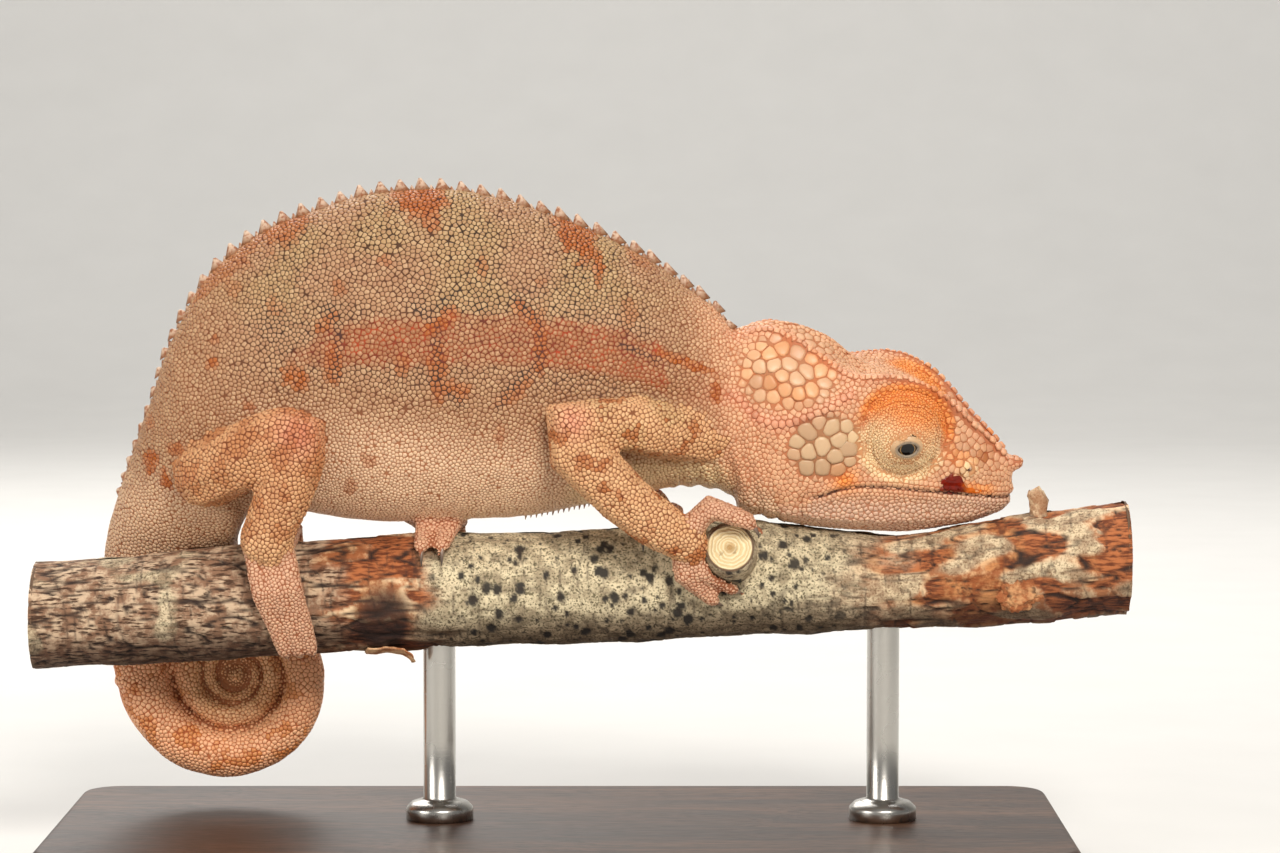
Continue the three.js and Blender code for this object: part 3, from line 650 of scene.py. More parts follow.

# %% [markdown]
# ## Where the scales grow
# A chameleon's scales are small cobbles that touch and never overlap. Their size changes with the
# place: plates on the casque and cheek, large cobbles high on the flank, fine ones on neck, lips
# and toes. So points are thrown on the skin, thicker where scales are small, and a point is kept
# only if no kept point lies within one scale's width. Rows that a keeper would notice, such as the
# rings round the eye and the scales of the lips, are placed first.

# %% How wide the scales are
WIDTHS = {
    "neck": 0.50, "chest": 0.66, "belly": 0.68, "hips": 0.64, "tail_base": 0.50,
    "tail_drop": 0.5, "coil_outer": 0.52, "coil_rear": 0.5, "coil_middle": 0.46, "coil_tip": 0.4,
    "head": 0.58, "jaw": 0.56, "upper": 0.52, "lower": 0.5, "thigh": 0.54, "shank": 0.52,
    "toes": 0.44, "eyelid": 0.44,
}


def widths(places, belongs):
    """The least distance between neighbouring scales at each place, in millimetres."""
    size = np.full(len(places), 0.7)
    for word, width in WIDTHS.items():
        size = np.where(kind(belongs, word), width, size)
    x, y, z = places.T
    trunk_part = kind(belongs, "chest", "belly", "hips")
    size = np.where(trunk_part, size * (0.82 + 0.26 * soft(z, 58, 78)), size)
    size = np.where(trunk_part, size * (0.85 + 0.15 * soft(x, 22, 10)), size)
    size = np.where(trunk_part, 0.76 * size * (1 + 0.16 * field(places, 1.6, 4.0)), size)
    q = in_head(places)
    hx, hy, hz = q[:, 0], np.abs(q[:, 1]), q[:, 2]
    on_head = kind(belongs, "head", "neck") & (hz > 2) & (hx > -3)
    casque = soft(np.hypot((hx - 6) / 7.5, (hz - 18.5) / 5.2), 1.05, 0.7)
    cheek = soft(np.hypot((hx - 11.3) / 5.2, (hz - 8.2) / 4.9), 1.1, 0.7)
    size = np.where(on_head, size + 1.05 * casque * (1 + 0.3 * field(places, 1.9, 8.0)) + 1.35 * cheek, size)
    snout = soft(hx, 27, 31) * soft(hz, 2.6, 4)
    size = np.where(kind(belongs, "head"), size + 0.34 * snout, size)
    return size


# %% Rows placed one by one
first = []      # [place, width, height], in the model's frame


def row(places, width, height):
    """Adds a row of scales, each with the width and height that are given."""
    first.extend([Vector(p), width, height] for p in places)


def walk(points, spacing):
    """Evenly spaced points along a line that close points draw."""
    points = np.asarray(points)
    along = np.concatenate([[0], np.cumsum(np.linalg.norm(np.diff(points, axis=0), axis=1))])
    count = max(2, round(along[-1] / spacing))
    at = np.linspace(0, along[-1], count)
    return np.stack([np.interp(at, along, points[:, k]) for k in range(3)], 1)


LID_RINGS = 20
for side, sign in SIDES.items():
    # rings of small scales on the turret, from the opening of the lid to the skull
    centre, gaze, level, up = turret_frame(side)
    for ring in range(LID_RINGS):
        angle = math.radians(16.4 + ring * 4.6)
        count = int(2 * math.pi * TURRET_RADIUS * math.sin(angle) / 0.56)
        turns = (np.arange(count) + 0.5 * (ring % 2)) * 2 * np.pi / count
        ways = (np.cos(angle) * gaze
                + np.sin(angle) * (np.cos(turns)[:, None] * level + np.sin(turns)[:, None] * up))
        row(centre + TURRET_RADIUS * ways, 0.46, 0.09)
    # two rows on each lip
    x = np.linspace(MOUTH_CORNER, SNOUT - 0.4, 60)
    lip = LIP(x)
    for rise, width in ((0.55, 0.66), (-0.58, 0.62), (-1.25, 0.6), (1.25, 0.62)):
        line = np.stack([x, sign * lip[:, 0], lip[:, 1] + rise], 1)
        row(from_head(walk(line, width * 1.2)), width, 0.12)
    # low knobs on the casque and brow, and taller cones from the brow to the tip of the snout
    for start, stop, width, tall in ((1, 26.5, 0.8, 0.26), (27.3, SNOUT - 1.2, 1.1, 0.55)):
        x = np.linspace(start, stop, 80)
        ridge = RIDGE(x)
        line = walk(np.stack([x, sign * ridge[:, 0], ridge[:, 1]], 1), width * 1.1)
        row(from_head(line), width, tall)
    # a row of knobs along the temple
    x = np.linspace(-1, 15, 50)
    temple = TEMPLE(x)
    line = walk(np.stack([x, sign * temple[:, 0], temple[:, 1]], 1), 1.0)
    row(from_head(line), 0.9, 0.28)
print("scales placed by hand:", len(first))

# %% Throw points on the skin
places = read(skin)
normals = read(skin, "normal")
belongs = owner(places)
size_here = widths(places, belongs)
triangles = np.array([(p.vertices[0], p.vertices[i], p.vertices[i + 1])
                      for p in skin.polygons for i in range(1, len(p.vertices) - 1)])
corners = places[triangles]
area = np.linalg.norm(np.cross(corners[:, 1] - corners[:, 0], corners[:, 2] - corners[:, 0]), axis=1) / 2
# several points are thrown for every scale that has room
THROWN = 8
hope = area / size_here[triangles].mean(1) ** 2
count = int(hope.sum() * THROWN)
pick = chance.choice(len(triangles), count, p=hope / hope.sum())
weights = chance.dirichlet((1, 1, 1), count)
scattered = (corners[pick] * weights[..., None]).sum(1)
width = (size_here[triangles[pick]] * weights).sum(1)
order = np.argsort(-width + 0.25 * chance.random(count))
scattered = np.concatenate([[p for p, _, _ in first], scattered[order]])
width = np.concatenate([[w for _, w, _ in first], width[order]])
bump = np.concatenate([[h for _, _, h in first], np.zeros(count)])
print("points thrown:", count)

# %% Thin them out
cloud = cloud_of(scattered)
free = np.ones(len(scattered), bool)
kept = []
for index in range(len(scattered)):
    if free[index]:
        kept.append(index)
        reach = width[index] * (0.8 if index < len(first) else 1.0)
        for _, other, _ in cloud.find_range(scattered[index], reach):
            free[other] = False
roots, width, bump = scattered[kept], width[kept], bump[kept]
print("scales:", len(roots))

# %% Let them settle
TOUCHING = 0.64         # of the sum of two widths, the distance at which two scales sit well


def neighbours(places, count):
    """For each place, the indices of the places nearest to it."""
    cloud = cloud_of(places)
    return np.array([[i for _, i, _ in cloud.find_n(p, count + 1)][1:] for p in places])


def onto_skin(places):
    """The nearest places on the skin, and its normals there."""
    found = [tree_of_skin.find_nearest(p) for p in places]
    return np.array([f[0] for f in found]), np.array([f[1] for f in found])


# the listed rows hardly move
fixed = bump > 0
roots, _ = onto_skin(roots)
for _ in range(5):
    near = neighbours(roots, 7)
    apart = roots[:, None] - roots[near]
    far = np.linalg.norm(apart, axis=2, keepdims=True)
    wanted = TOUCHING * (width[:, None] + width[near])[..., None]
    push = (apart / np.maximum(far, 1e-6) * np.clip(wanted - far, 0, 0.3)).mean(1)
    roots = roots + np.where(fixed[:, None], 0.15, 0.9) * push
    roots, _ = onto_skin(roots)

# the skin's own normals are smooth between its corners, so each root takes its nearest corner's
corner_cloud = cloud_of(places)
near_corner = np.array([[i for _, i, _ in corner_cloud.find_n(p, 4)] for p in roots])
outward = unit(normals[near_corner].mean(1))
root_owner = owner(roots)
near = neighbours(roots, 15)
print("settled")

# %% [markdown]
# ## The markings
# Skin and scales are coloured by the same functions of place, so the pattern runs through both.
# Each marking is a share from 0 to 1 at a point: how much rust, how much cream, how much of the
# dark net between the scales. The patches have soft, ragged edges because noise is added to
# their distance before it is turned into a share.

# %% Patches of colour on the flank
# [x, z, half length, half height, slope, strength], in millimetres
RUST = [
    [-20.5, 100, 4.2, 2.6, -0.02, 1.0], [-18.5, 97.4, 1.2, 1.8, 0, 0.8], [2.6, 94.8, 3.4, 3.2, -0.7, 1.0],
    [5.8, 90.6, 1.0, 2.4, 0, 0.9], [-40, 96.4, 3.4, 3.2, 0.5, 0.8], [-49, 91, 6.5, 3.0, 0.8, 0.55],
    [11.6, 92, 2.2, 2.0, -0.8, 0.5], [-17.2, 82.6, 2.6, 1.5, 0.55, 0.9], [-17.4, 75.2, 1.5, 4.2, 0, 0.75],
    [-14.6, 73, 2.2, 1.4, -0.3, 0.85], [-5.0, 84.3, 2.4, 1.2, -0.9, 0.8], [-2.6, 79.6, 1.2, 4.6, 0, 0.75],
    [-6.2, 72.6, 2.6, 1.6, 0.7, 0.6], [-33.6, 82.4, 1.8, 1.4, 0.5, 0.75], [-32.6, 76.6, 1.3, 3.2, 0, 0.75],
    [-38.4, 74.6, 1.9, 2.0, -0.2, 0.95], [-50.6, 76.6, 0.9, 1.2, 0, 0.9], [-50.4, 80, 0.7, 0.8, 0, 0.7],
    [-22.6, 76.4, 1.1, 1.9, 0, 0.6], [-32, 87.5, 1.0, 1.4, 0, 0.5], [-41.5, 84.5, 1.2, 1.6, 0, 0.4],
    [18.4, 76.6, 5.4, 0.8, -0.36, 1.0], [23.0, 72.6, 0.8, 2.2, 0, 0.9], [-60.4, 61.6, 1.3, 1.8, 0.2, 1.0],
    [-58.2, 59.0, 1.1, 1.6, -0.3, 1.0], [-56.0, 63.6, 1.5, 1.0, 0, 0.7], [-48.6, 64.6, 1.1, 1.4, 0.4, 0.8],
    [-60.6, 67.5, 0.8, 1.0, 0, 0.5], [-55.5, 57.0, 0.7, 1.6, 0, 0.5], [-27.8, 62.6, 1.4, 1.0, -0.4, 0.5],
    [-30.6, 58.4, 1.0, 1.4, 0, 0.5], [-8.5, 66.5, 0.9, 1.6, 0, 0.4], [-11.0, 90.5, 1.0, 1.6, 0, 0.5],
    [-25.5, 91.5, 1.4, 0.9, -0.3, 0.45], [10.5, 84, 1.3, 2.4, 0.3, 0.4], [-45, 70.0, 1.0, 0.8, 0, 0.6],
    [-2.5, 88.5, 0.8, 1.0, 0, 0.35], [-47.5, 87.2, 1.0, 1.4, 0, 0.4],
]
# lines where the grooves are almost black: [x, z, x, z]
NET = [
    [-17.6, 84.4, -14.8, 87.4], [-20.6, 84.6, -17.4, 81.8], [-17.4, 81.8, -17.8, 73.6],
    [-17.8, 73.6, -14.4, 70.8], [-6.2, 86.2, -2.8, 82.6], [-2.8, 82.6, -2.8, 76.6], [-2.8, 76.6, -8.6, 70.6],
    [-33.6, 84.6, -31.8, 80.6], [-31.8, 80.6, -32.4, 74.4], [9.4, 79.2, 14.6, 76.8],
]


def to_line(x, z, ends):
    """Distance in the side view from points to a line between two ends."""
    ax, az, bx, bz = ends
    length = (bx - ax) ** 2 + (bz - az) ** 2
    s = np.clip(((x - ax) * (bx - ax) + (z - az) * (bz - az)) / length, 0, 1)
    return np.hypot(x - ax - s * (bx - ax), z - az - s * (bz - az))


STRIPE = smooth_line([[-40, 76.5, 0.6], [-34, 78.6, 2.4], [-22, 79.8, 3.4], [-9, 80.0, 3.7], [4, 78.8, 3.6],
                      [13, 76.6, 3.4], [20, 72.6, 3.0], [24, 69.6, 0.8]])


def flank_patches(x, z, lumps, rags, fleck):
    """The share of rust in the patches, and how near a point is to a line of the dark net."""
    rust = np.zeros(len(x))
    for px, pz, wide, tall, slope, strength in RUST:
        away = np.hypot((x - px) / wide, (z - pz - slope * (x - px)) / tall) + 0.5 * rags + 0.2 * fleck
        rust = np.maximum(rust, strength * soft(away, 1.25, 0.65))
    net = np.zeros(len(x))
    for ends in NET:
        net = np.maximum(net, 0.75 * soft(to_line(x + 0.9 * rags, z + 1.2 * lumps, ends), 1.3, 0.2))
    return rust, net


# %% Colours of the turrets and the lip
def turret_marks(places, patch):
    """The orange of the turrets, their pale lids and painted shade in the folds round them."""
    rim = np.zeros(len(places))
    lid = np.zeros(len(places))
    folds = np.zeros(len(places))
    for side in SIDES:
        centre, gaze, level, up = turret_frame(side)
        away = places - centre
        reach = np.linalg.norm(away, axis=1)
        angle = np.degrees(np.arccos(np.clip(away @ gaze / reach, -1, 1)))
        near_it = soft(reach, TURRET_RADIUS + 2.2, TURRET_RADIUS + 1.0)
        above = unit(away) @ up + 0.25 * (unit(away) @ -level) * SIDES[side]
        lid = np.maximum(lid, near_it * soft(angle, 84, 60))
        # painted shade in the troughs of the lid's folds, where shape_turrets sinks the skin
        folds = np.maximum(folds, near_it * soft(np.sin(np.radians(angle) * 39), 0.2, -0.8)
                           * soft(angle, 30, 40) * soft(angle, 110, 98))
        hot = 0.55 * soft(angle, 70, 90) + 0.95 * soft(above + 0.22 * patch, -0.3, 0.8) * soft(angle, 13, 38)
        rim = np.maximum(rim, near_it * np.clip(hot, 0, 1) * soft(angle, 108, 92))
    return rim, lid, folds


def stain_marks(q, y, rags):
    """The stain of dried fluid beside the mouth, and its trail along the lip."""
    on_lip = np.abs(q[:, 2] - LIP(q[:, 0])[:, 1] - 1.1)
    off_stain = np.hypot((q[:, 0] - 30.6) / 2.2, (on_lip - 0.3) / 1.3)
    stain = soft(off_stain + 0.5 * rags, 1.1, 0.75) * soft(y, -0.5, -2)
    trail = soft(on_lip + 0.4 * rags, 1.1, 0.4) * soft(y, 0, -1.5)
    return stain, trail * soft(q[:, 0], 31, 33) * soft(q[:, 0], 38, 35.5)


# %% All the markings
def markings(places, belongs):
    """The share of each marking at each place."""
    x, y, z = places.T
    mirrored = places * [1, 0, 1] + [0, 1, 0] * np.where(y > 0, 60.0, 0.0)[:, None]
    lumps = field(places, 9.0, 1.0)
    rags = field(mirrored, 1.5, 6.0)
    fleck = field(places, 0.9, 12.0)
    patch = field(places, 3.4, 21.0)
    trunk_part = kind(belongs, "chest", "belly", "hips", "neck", "tail_") * 1.0
    limb_part = kind(belongs, "thigh", "shank", "upper", "lower") * 1.0
    hind = kind(belongs, "thigh", "shank") | kind(belongs, "hind") & kind(belongs, "toes")
    fore = kind(belongs, "upper", "lower") | kind(belongs, "fore") & kind(belongs, "toes")
    limb = (hind | fore) * 1.0
    toes = kind(belongs, "toes") * 1.0
    coil = np.maximum(kind(belongs, "coil") * 1.0, kind(belongs, "tail_") * soft(z + 1.5 * lumps, 44, 29))
    head = kind(belongs, "head", "jaw", "eyelid") * 1.0
    # trunk
    rust, net = flank_patches(x, z, lumps, rags, fleck)
    rust = rust * trunk_part
    high = soft(z, 66, 78) * soft(x, -56, -40) * soft(x, 20, 8)
    net = np.maximum(net, 0.2 * high * soft(field(places, 4.5, 31.0), 0.1, 0.4)) * trunk_part
    # darker grooves: on the upper flank and the legs this is the skin's own colour
    dark_grooves_and_shade = np.clip(high * (0.75 + 0.35 * lumps) * trunk_part + 0.35 * limb_part, 0, 1)
    # painted shade: the grooves between the turns of the coil are darkened
    dark_grooves_and_shade = np.maximum(dark_grooves_and_shade, 0.35 * coil_line(places) * kind(belongs, "coil"))
    stripe_line = STRIPE(x)
    off = np.abs(z - stripe_line[:, 0]) + 0.7 * rags
    stripe = soft(off, stripe_line[:, 1] + 0.6, stripe_line[:, 1] - 0.9) * soft(x, -42, -33)
    stripe = stripe * soft(x, 25, 21) * (trunk_part - kind(belongs, "neck") * 0.5)
    oval = soft(np.hypot((x + 9.8) / 6.4, (z - 79.4) / 5.6), 1.1, 0.85)
    belly = soft(z + 1.2 * lumps + 0.1 * (x + 15), 71, 60.5) * trunk_part * soft(x, -50, -42)
    chest = soft(np.hypot((x - 14) / 12, (z - 57.5) / 5.4) + 0.2 * lumps, 1.15, 0.7) * trunk_part
    rump = soft(x + 0.25 * (z - 60), -46, -53) * trunk_part * soft(z, 64, 54) * (1 - coil)
    # legs and coil: rust over the shank and outer thigh, a few blotches on the forearm, rosy knees
    blotch = soft(patch + 0.25 * fleck, 0.02, 0.22)
    on_hind = hind * (0.45 + 0.55 * blotch) * soft(z, 50, 56) + hind * blotch * 0.5 * soft(z, 42, 50)
    on_fore = fore * soft(patch + 0.3 * fleck, 0.16, 0.3) * 0.8
    on_coil = coil * soft(patch + 0.3 * fleck, 0.1, 0.3)
    on_limbs = np.maximum(np.clip(on_hind, 0, 1) * 0.62, np.maximum(on_fore, 0.3 * on_coil))
    rust = np.maximum(rust, on_limbs * (1 - toes * 0.8))
    knee = np.exp(-((x + 37.5) / 3.6) ** 2 - ((z - 66.5) / 3.4) ** 2) * limb
    elbow = np.exp(-((x - 2.2) / 2.6) ** 2 - ((z - 68.5) / 2.4) ** 2) * limb
    rosy = np.clip(knee + 0.8 * elbow, 0, 1)
    green = kind(belongs, "upper") * soft(lumps + patch * 0.5, -0.25, 0.3) * 0.45
    green = np.maximum(green, 0.55 * high * soft(z, 80, 88) * soft(lumps, -0.3, 0.3))
    # head
    q = in_head(places)
    hx, hy, hz = q[:, 0], np.abs(q[:, 1]), q[:, 2]
    near_head = soft(hx + 2.2 * lumps, -11, -1) * soft(hz, -2, 4)
    near_head = np.maximum(head, kind(belongs, "neck", "chest") * near_head)
    casque = soft(np.hypot((hx - 6) / 9, (hz - 18.5) / 6) + 0.2 * patch, 1.05, 0.6) * near_head
    cheek = soft(np.hypot((hx - 11.6) / 5.2, (hz - 8.4) / 5.0) + 0.15 * patch, 1.1, 0.8) * near_head
    ridge = RIDGE(hx)
    temple = TEMPLE(hx)
    crest = np.exp(-((np.hypot(hy - ridge[:, 0], hz - ridge[:, 1])) / 1.5) ** 2) * near_head
    low_crest = np.exp(-((np.hypot(hy - temple[:, 0], hz - temple[:, 1])) / 1.3) ** 2)
    low_crest = low_crest * near_head * soft(hx, 17, 15)
    rosy = np.maximum(rosy, np.maximum(0.3 * crest, 0.6 * low_crest))
    jaw = kind(belongs, "jaw") * soft(hz + 0.4 * lumps, 1.0, -2.0)
    jaw = np.maximum(jaw, head * soft(hz, -0.5, -2.5) * 0.8)
    rim, lid, folds = turret_marks(places, patch)
    behind = np.exp(-((hx - 14.5) / 1.8) ** 2 - ((hz - 2.8) / 1.8) ** 2) * head * 0.9
    spot = np.exp(-(((hx - 35.2) / 1.2) ** 2 + ((hz - 5.0) / 1.1) ** 2)) * head
    orange = np.clip(0.8 * rim + 0.3 * casque * soft(patch, 0.0, 0.3) + behind, 0, 1)
    freckles = soft(patch + 0.3 * fleck, 0.05, 0.4) * soft(hx, 24, 28) * soft(hz, 3, 5)
    orange = np.maximum(orange, 0.5 * head * freckles)
    rust = np.maximum(rust, 0.9 * spot)
    stain, trail = stain_marks(q, y, rags)
    cream = np.clip(0.85 * chest + 0.75 * lid * (1 - rim), 0, 1)
    # painted light: the inner turns of the coil are lightened with cream and orange, against the shade that
    # falls between the turns
    inner = soft(np.hypot(x - COIL_POLE[0], z - COIL_POLE[2]), 11, 5) * kind(belongs, "coil")
    cream = np.maximum(cream, 0.35 * inner)
    orange = np.maximum(orange, np.maximum(0.3 * inner, 0.6 * on_coil))
    cream = np.maximum(cream, 0.9 * head * np.exp(-(np.hypot(hx - NOSTRIL[0], hz - NOSTRIL[1]) / 1.3) ** 2))
    # in the turrets' folds the stripe and groove marks are painted shade
    return {
        "belly": np.clip(np.maximum(belly, 0.75 * rump), 0, 1), "head": near_head, "limb": limb,
        "coil": coil, "jaw": jaw, "plates": np.clip(0.45 * casque + cheek, 0, 1) * (1 - crest),
        "green": green, "stripe": np.maximum(stripe * (0.85 - 0.25 * oval), 0.2 * folds), "rosy": rosy,
        "orange": np.clip(orange + 0.6 * head * trail, 0, 1), "rust": rust, "cream": cream,
        "paws": toes, "stain": head * stain, "net": net, "dark_grooves_and_shade": np.maximum(dark_grooves_and_shade, 0.22 * folds),
    }


# the coil's colour is lighter than the tail's own: painted light against the shadow of the branch over the coil
MARK_COLOURS = {
    "belly": "#e2bb98", "head": "#dba57e", "limb": "#dba777", "coil": "#fab98b", "jaw": "#d6ae93",
    "plates": "#c4a17c", "green": "#b0915f", "stripe": "#a3683f", "rosy": "#d88a6c", "orange": "#ee8c2c",
    "rust": "#a9570f", "cream": "#f8dcaa", "paws": "#d9a787", "stain": "#7c2008",
}


def colour_by(mesh, shares, repeats=1):
    """Stores each marking as a number at every vertex, each value repeated for a whole scale."""
    for name, share in shares.items():
        layer = mesh.attributes.new(name, "FLOAT", "POINT")
        layer.data.foreach_set("value", np.repeat(np.asarray(share, np.float32), repeats))


# %% [markdown]
# ## Keratin and bare skin
# A scale is a bead of keratin, the stuff of nails: satin, slightly waxy, and a little translucent
# at its edge. The skin between the scales is soft and dull, and shows as thin lines; it and the rim
# of each scale are darker, partly by their own colour and partly by painted shade in the grooves.
# Both take their colours from the markings, and each scale has a tone of its own on top.

# %% The markings as colour
# light sinks into living skin and comes out redder, which a little subsurface scattering gives
SOFT_FLESH = {"Subsurface_Weight": 0.08, "Subsurface_Radius": (0.9, 0.4, 0.25), "Subsurface_Scale": 0.0006}


def marked(tree, colour, layers):
    """A colour with the colours of named markings laid over it in turn."""
    for name, code in layers.items():
        share = add(tree, "Attribute", {"attribute_name": name}, 2)
        colour = add(tree, "Mix", MIXED, 2, s0=share, s6=colour, s7=code)
    return colour


# %% Scales
# grooves are darkened by these, partly their own colour and partly painted shade: the ground first, then where
# each marking changes it
GROOVE_COLOUR_AND_SHADE, DEEP_GROOVE_COLOUR_AND_SHADE = "#c9a48c", "#b8927a"
SCALE_GROOVES = {"dark_grooves_and_shade": "#665a50", "head": "#e3c6b4", "stripe": "#b47c5c", "net": "#3d302a"}
TONES = ((1.0, 0.14, "#ffdcae"), (0.0, 0.24, "#8a4f30"))      # tone, how much of its colour, colour


def scaly(name, base, gloss):
    """Keratin scales: a satin, slightly waxy surface, with a tone of its own on every scale."""
    made, tree = new_material(name)
    where = add(tree, "TexCoord", {}, "Object")
    colour = marked(tree, linear(base), MARK_COLOURS)
    # every scale is a little lighter or darker and warmer or cooler than the next
    tone = add(tree, "Attribute", {"attribute_name": "tone"}, 2)
    for end, share, tint in TONES:
        near_end = add(tree, "MapRange", SOFT, s0=tone, s1=0.45 + 0.1 * end, s2=end)
        part = add(tree, "Math", {"operation": "MULTIPLY"}, s0=near_end, s1=share)
        colour = add(tree, "Mix", MIXED, 2, s0=part, s6=colour, s7=tint)
    # the rim of a scale is thin skin, darker than its crown by its own colour and by painted shade where it
    # slopes into the groove; the net lines are almost black
    rise = add(tree, "Attribute", {"attribute_name": "rise"}, 2)
    rim = add(tree, "MapRange", SOFT, s0=rise, s1=0.5, s2=0.0)
    shade = marked(tree, linear(GROOVE_COLOUR_AND_SHADE), SCALE_GROOVES)
    part = add(tree, "Math", {"operation": "MULTIPLY"}, s0=rim, s1=0.9)
    colour = add(tree, "Mix", MULTIPLIED, 2, s0=part, s6=colour, s7=shade)
    # wrinkles a quarter of a millimetre wide on each scale
    grain = add(tree, "TexNoise", Vector=where, Scale=4200.0, Detail=2.0)
    bump = add(tree, "Bump", Strength=0.25, Distance=0.00008, Height=grain)
    rough = add(tree, "MapRange", s0=grain, s3=gloss - 0.07, s4=gloss + 0.09)
    stain = add(tree, "Attribute", {"attribute_name": "stain"}, 2)
    wet = add(tree, "Math", {"operation": "MULTIPLY_ADD"}, s0=stain, s1=-0.2, s2=rough)
    shader = add(tree, "BsdfPrincipled", Base_Color=colour, Roughness=wet, IOR=1.5, Normal=bump, **SOFT_FLESH)
    add(tree, "OutputMaterial", Surface=shader)
    return made


# %% The skin between the scales
# darker colours of the skin between the scales: partly its own colour, partly painted shade in the grooves
SKIN_GROOVES = {"dark_grooves_and_shade": "#524840", "head": "#d6b5a2"}
# along the stripe the skin itself is red, and shows in the grooves; the crease colour is painted shade in the
# line of the closed mouth and in the nostril pits
SKIN_LINES = {"threads": "#b8441a", "net": "#2c2420", "crease": "#3a221a"}


def bare_skin(name, base):
    """The thin skin between scales: the same markings, darker by its own colour and by painted shade in the
    grooves, duller and finely creased.
    """
    made, tree = new_material(name)
    where = add(tree, "TexCoord", {}, "Object")
    colour = marked(tree, linear(base), MARK_COLOURS)
    shade = marked(tree, linear(DEEP_GROOVE_COLOUR_AND_SHADE), SKIN_GROOVES)
    colour = add(tree, "Mix", MULTIPLIED, 2, s0=1.0, s6=colour, s7=shade)
    colour = marked(tree, colour, SKIN_LINES)
    # creases under half a millimetre wide
    creases = add(tree, "TexNoise", Vector=where, Scale=2600.0, Detail=3.0)
    bump = add(tree, "Bump", Strength=0.4, Distance=0.0001, Height=creases)
    shader = add(tree, "BsdfPrincipled", Base_Color=colour, Roughness=0.72, IOR=1.45, Normal=bump, **SOFT_FLESH)
    add(tree, "OutputMaterial", Surface=shader)
    return made


FLANK = "#b08560"
SCALES = {
    "flank_scales": scaly("flank_keratin_scales", FLANK, 0.4),
    "belly_scales": scaly("belly_keratin_scales", FLANK, 0.43),
    "head_scales": scaly("head_keratin_scales", FLANK, 0.42),
    "limb_scales": scaly("limb_keratin_scales", FLANK, 0.48),
    "lid_scales": scaly("eyelid_keratin_scales", FLANK, 0.46),
}
skin_finish = bare_skin("skin_between_scales", FLANK)
print("materials of the hide:", len(SCALES) + 1)

# %% Finish the skin
skin_marks = markings(places, belongs)
q = in_head(places)
# painted shade: a dark line along the closed mouth and dark nostril pits
lip_line = np.abs(q[:, 2] - LIP(q[:, 0])[:, 1])
crease = soft(lip_line, 0.42, 0.12) * soft(q[:, 0], MOUTH_CORNER - 0.6, MOUTH_CORNER + 0.8)
pits = soft(np.hypot(q[:, 0] - NOSTRIL[0], q[:, 2] - NOSTRIL[1]), 0.6, 0.3) * (np.abs(q[:, 1]) > 2.5)
# red threads run along the stripe, a millimetre and a half apart
from_stripe = places[:, 2] - STRIPE(places[:, 0])[:, 0] + 0.3 * field(places, 3.0)
threads = 0.35 + 0.65 * soft(np.sin(2 * np.pi / 1.5 * from_stripe), 0.3, 0.8)
skin_marks["threads"] = skin_marks["stripe"] * threads * kind(belongs, "chest", "belly", "hips")
skin_marks["crease"] = np.clip(crease + pits, 0, 1) * kind(belongs, "head", "jaw")
colour_by(skin, skin_marks)
finish("chameleon_skin", skin, skin_finish, "flank_scales", *FLESH)

# %% [markdown]
# ## One scale
# Each scale is a low pebble of its own: a ring of corners at its foot, two more rings that narrow
# as they rise, and a crown. Its outline reaches towards each neighbour as far as the groove
# between them, so that the scales fit each other like cobbles. On the real animal that fit is
# grown; on a model it would be carved or cast scale by scale.

# %% Outlines that fit the neighbours
CORNERS = 7      # corners round a scale; the wide plates of the head have twice as many
tangent = unit(np.cross(outward, [0.13, 0.31, 0.94]))
tangent = unit(np.cross(tangent, outward))
sideways = np.cross(outward, tangent)
apart = roots[near] - roots[:, None]
ahead_by = np.einsum("nkj,nj->nk", apart, tangent)
aside_by = np.einsum("nkj,nj->nk", apart, sideways)
far = np.hypot(ahead_by, aside_by)
there = np.arctan2(aside_by, ahead_by)
groove = far * width[:, None] / (width[:, None] + width[near])
# the lines of the dark net are wide grooves, and the rest are a tenth of a scale wide
scale_marks = markings(roots, root_owner)
scale_marks["tone"] = chance.random(len(roots))
inset = 0.965 - 0.11 * scale_marks["net"] - 0.03 * chance.random(len(roots))
start = chance.random(len(roots))


def outlines(which, corners):
    """The directions of the corners of the chosen scales, and how far out each corner lies."""
    if corners == CORNERS:
        # a corner lies where the grooves towards two neighbours meet
        order = np.argsort(there[which][:, :corners], axis=1)
        first = np.take_along_axis(there[which], order, 1)
        edge = np.take_along_axis(groove[which], order, 1)
        after = np.concatenate([first[:, 1:], first[:, :1] + 2 * np.pi], axis=1)
        beyond = np.roll(edge, -1, 1)
        meet = np.arctan2(beyond * np.cos(first) - edge * np.cos(after),
                          edge * np.sin(after) - beyond * np.sin(first))
        meet = first + (meet - first) % (2 * np.pi)
        wide = (after - first > 2.6) | (after - first < 0.15) | (meet > after)
        turns = np.where(wide, (first + after) / 2, meet)
    else:
        turns = (np.arange(corners) + start[which][:, None]) * 2 * np.pi / corners
    facing = np.cos(turns[:, :, None] - there[which][:, None, :])
    reach = np.where(facing > 0.2, groove[which][:, None, :] / np.maximum(facing, 0.2), 9.0)
    outline = np.minimum(reach.min(2), 0.98 * width[which][:, None])
    return turns, outline * inset[which][:, None]


height = np.where(bump > 0, bump, width * 0.17 + 0.03 * chance.random(len(roots)))
height = np.where((width > 1.0) & (bump == 0), 0.75 * height, height)
soft_belly = scale_marks["belly"] * 0.35 + kind(root_owner, "toes") * 0.45
height = height * (1 - soft_belly * (bump == 0))

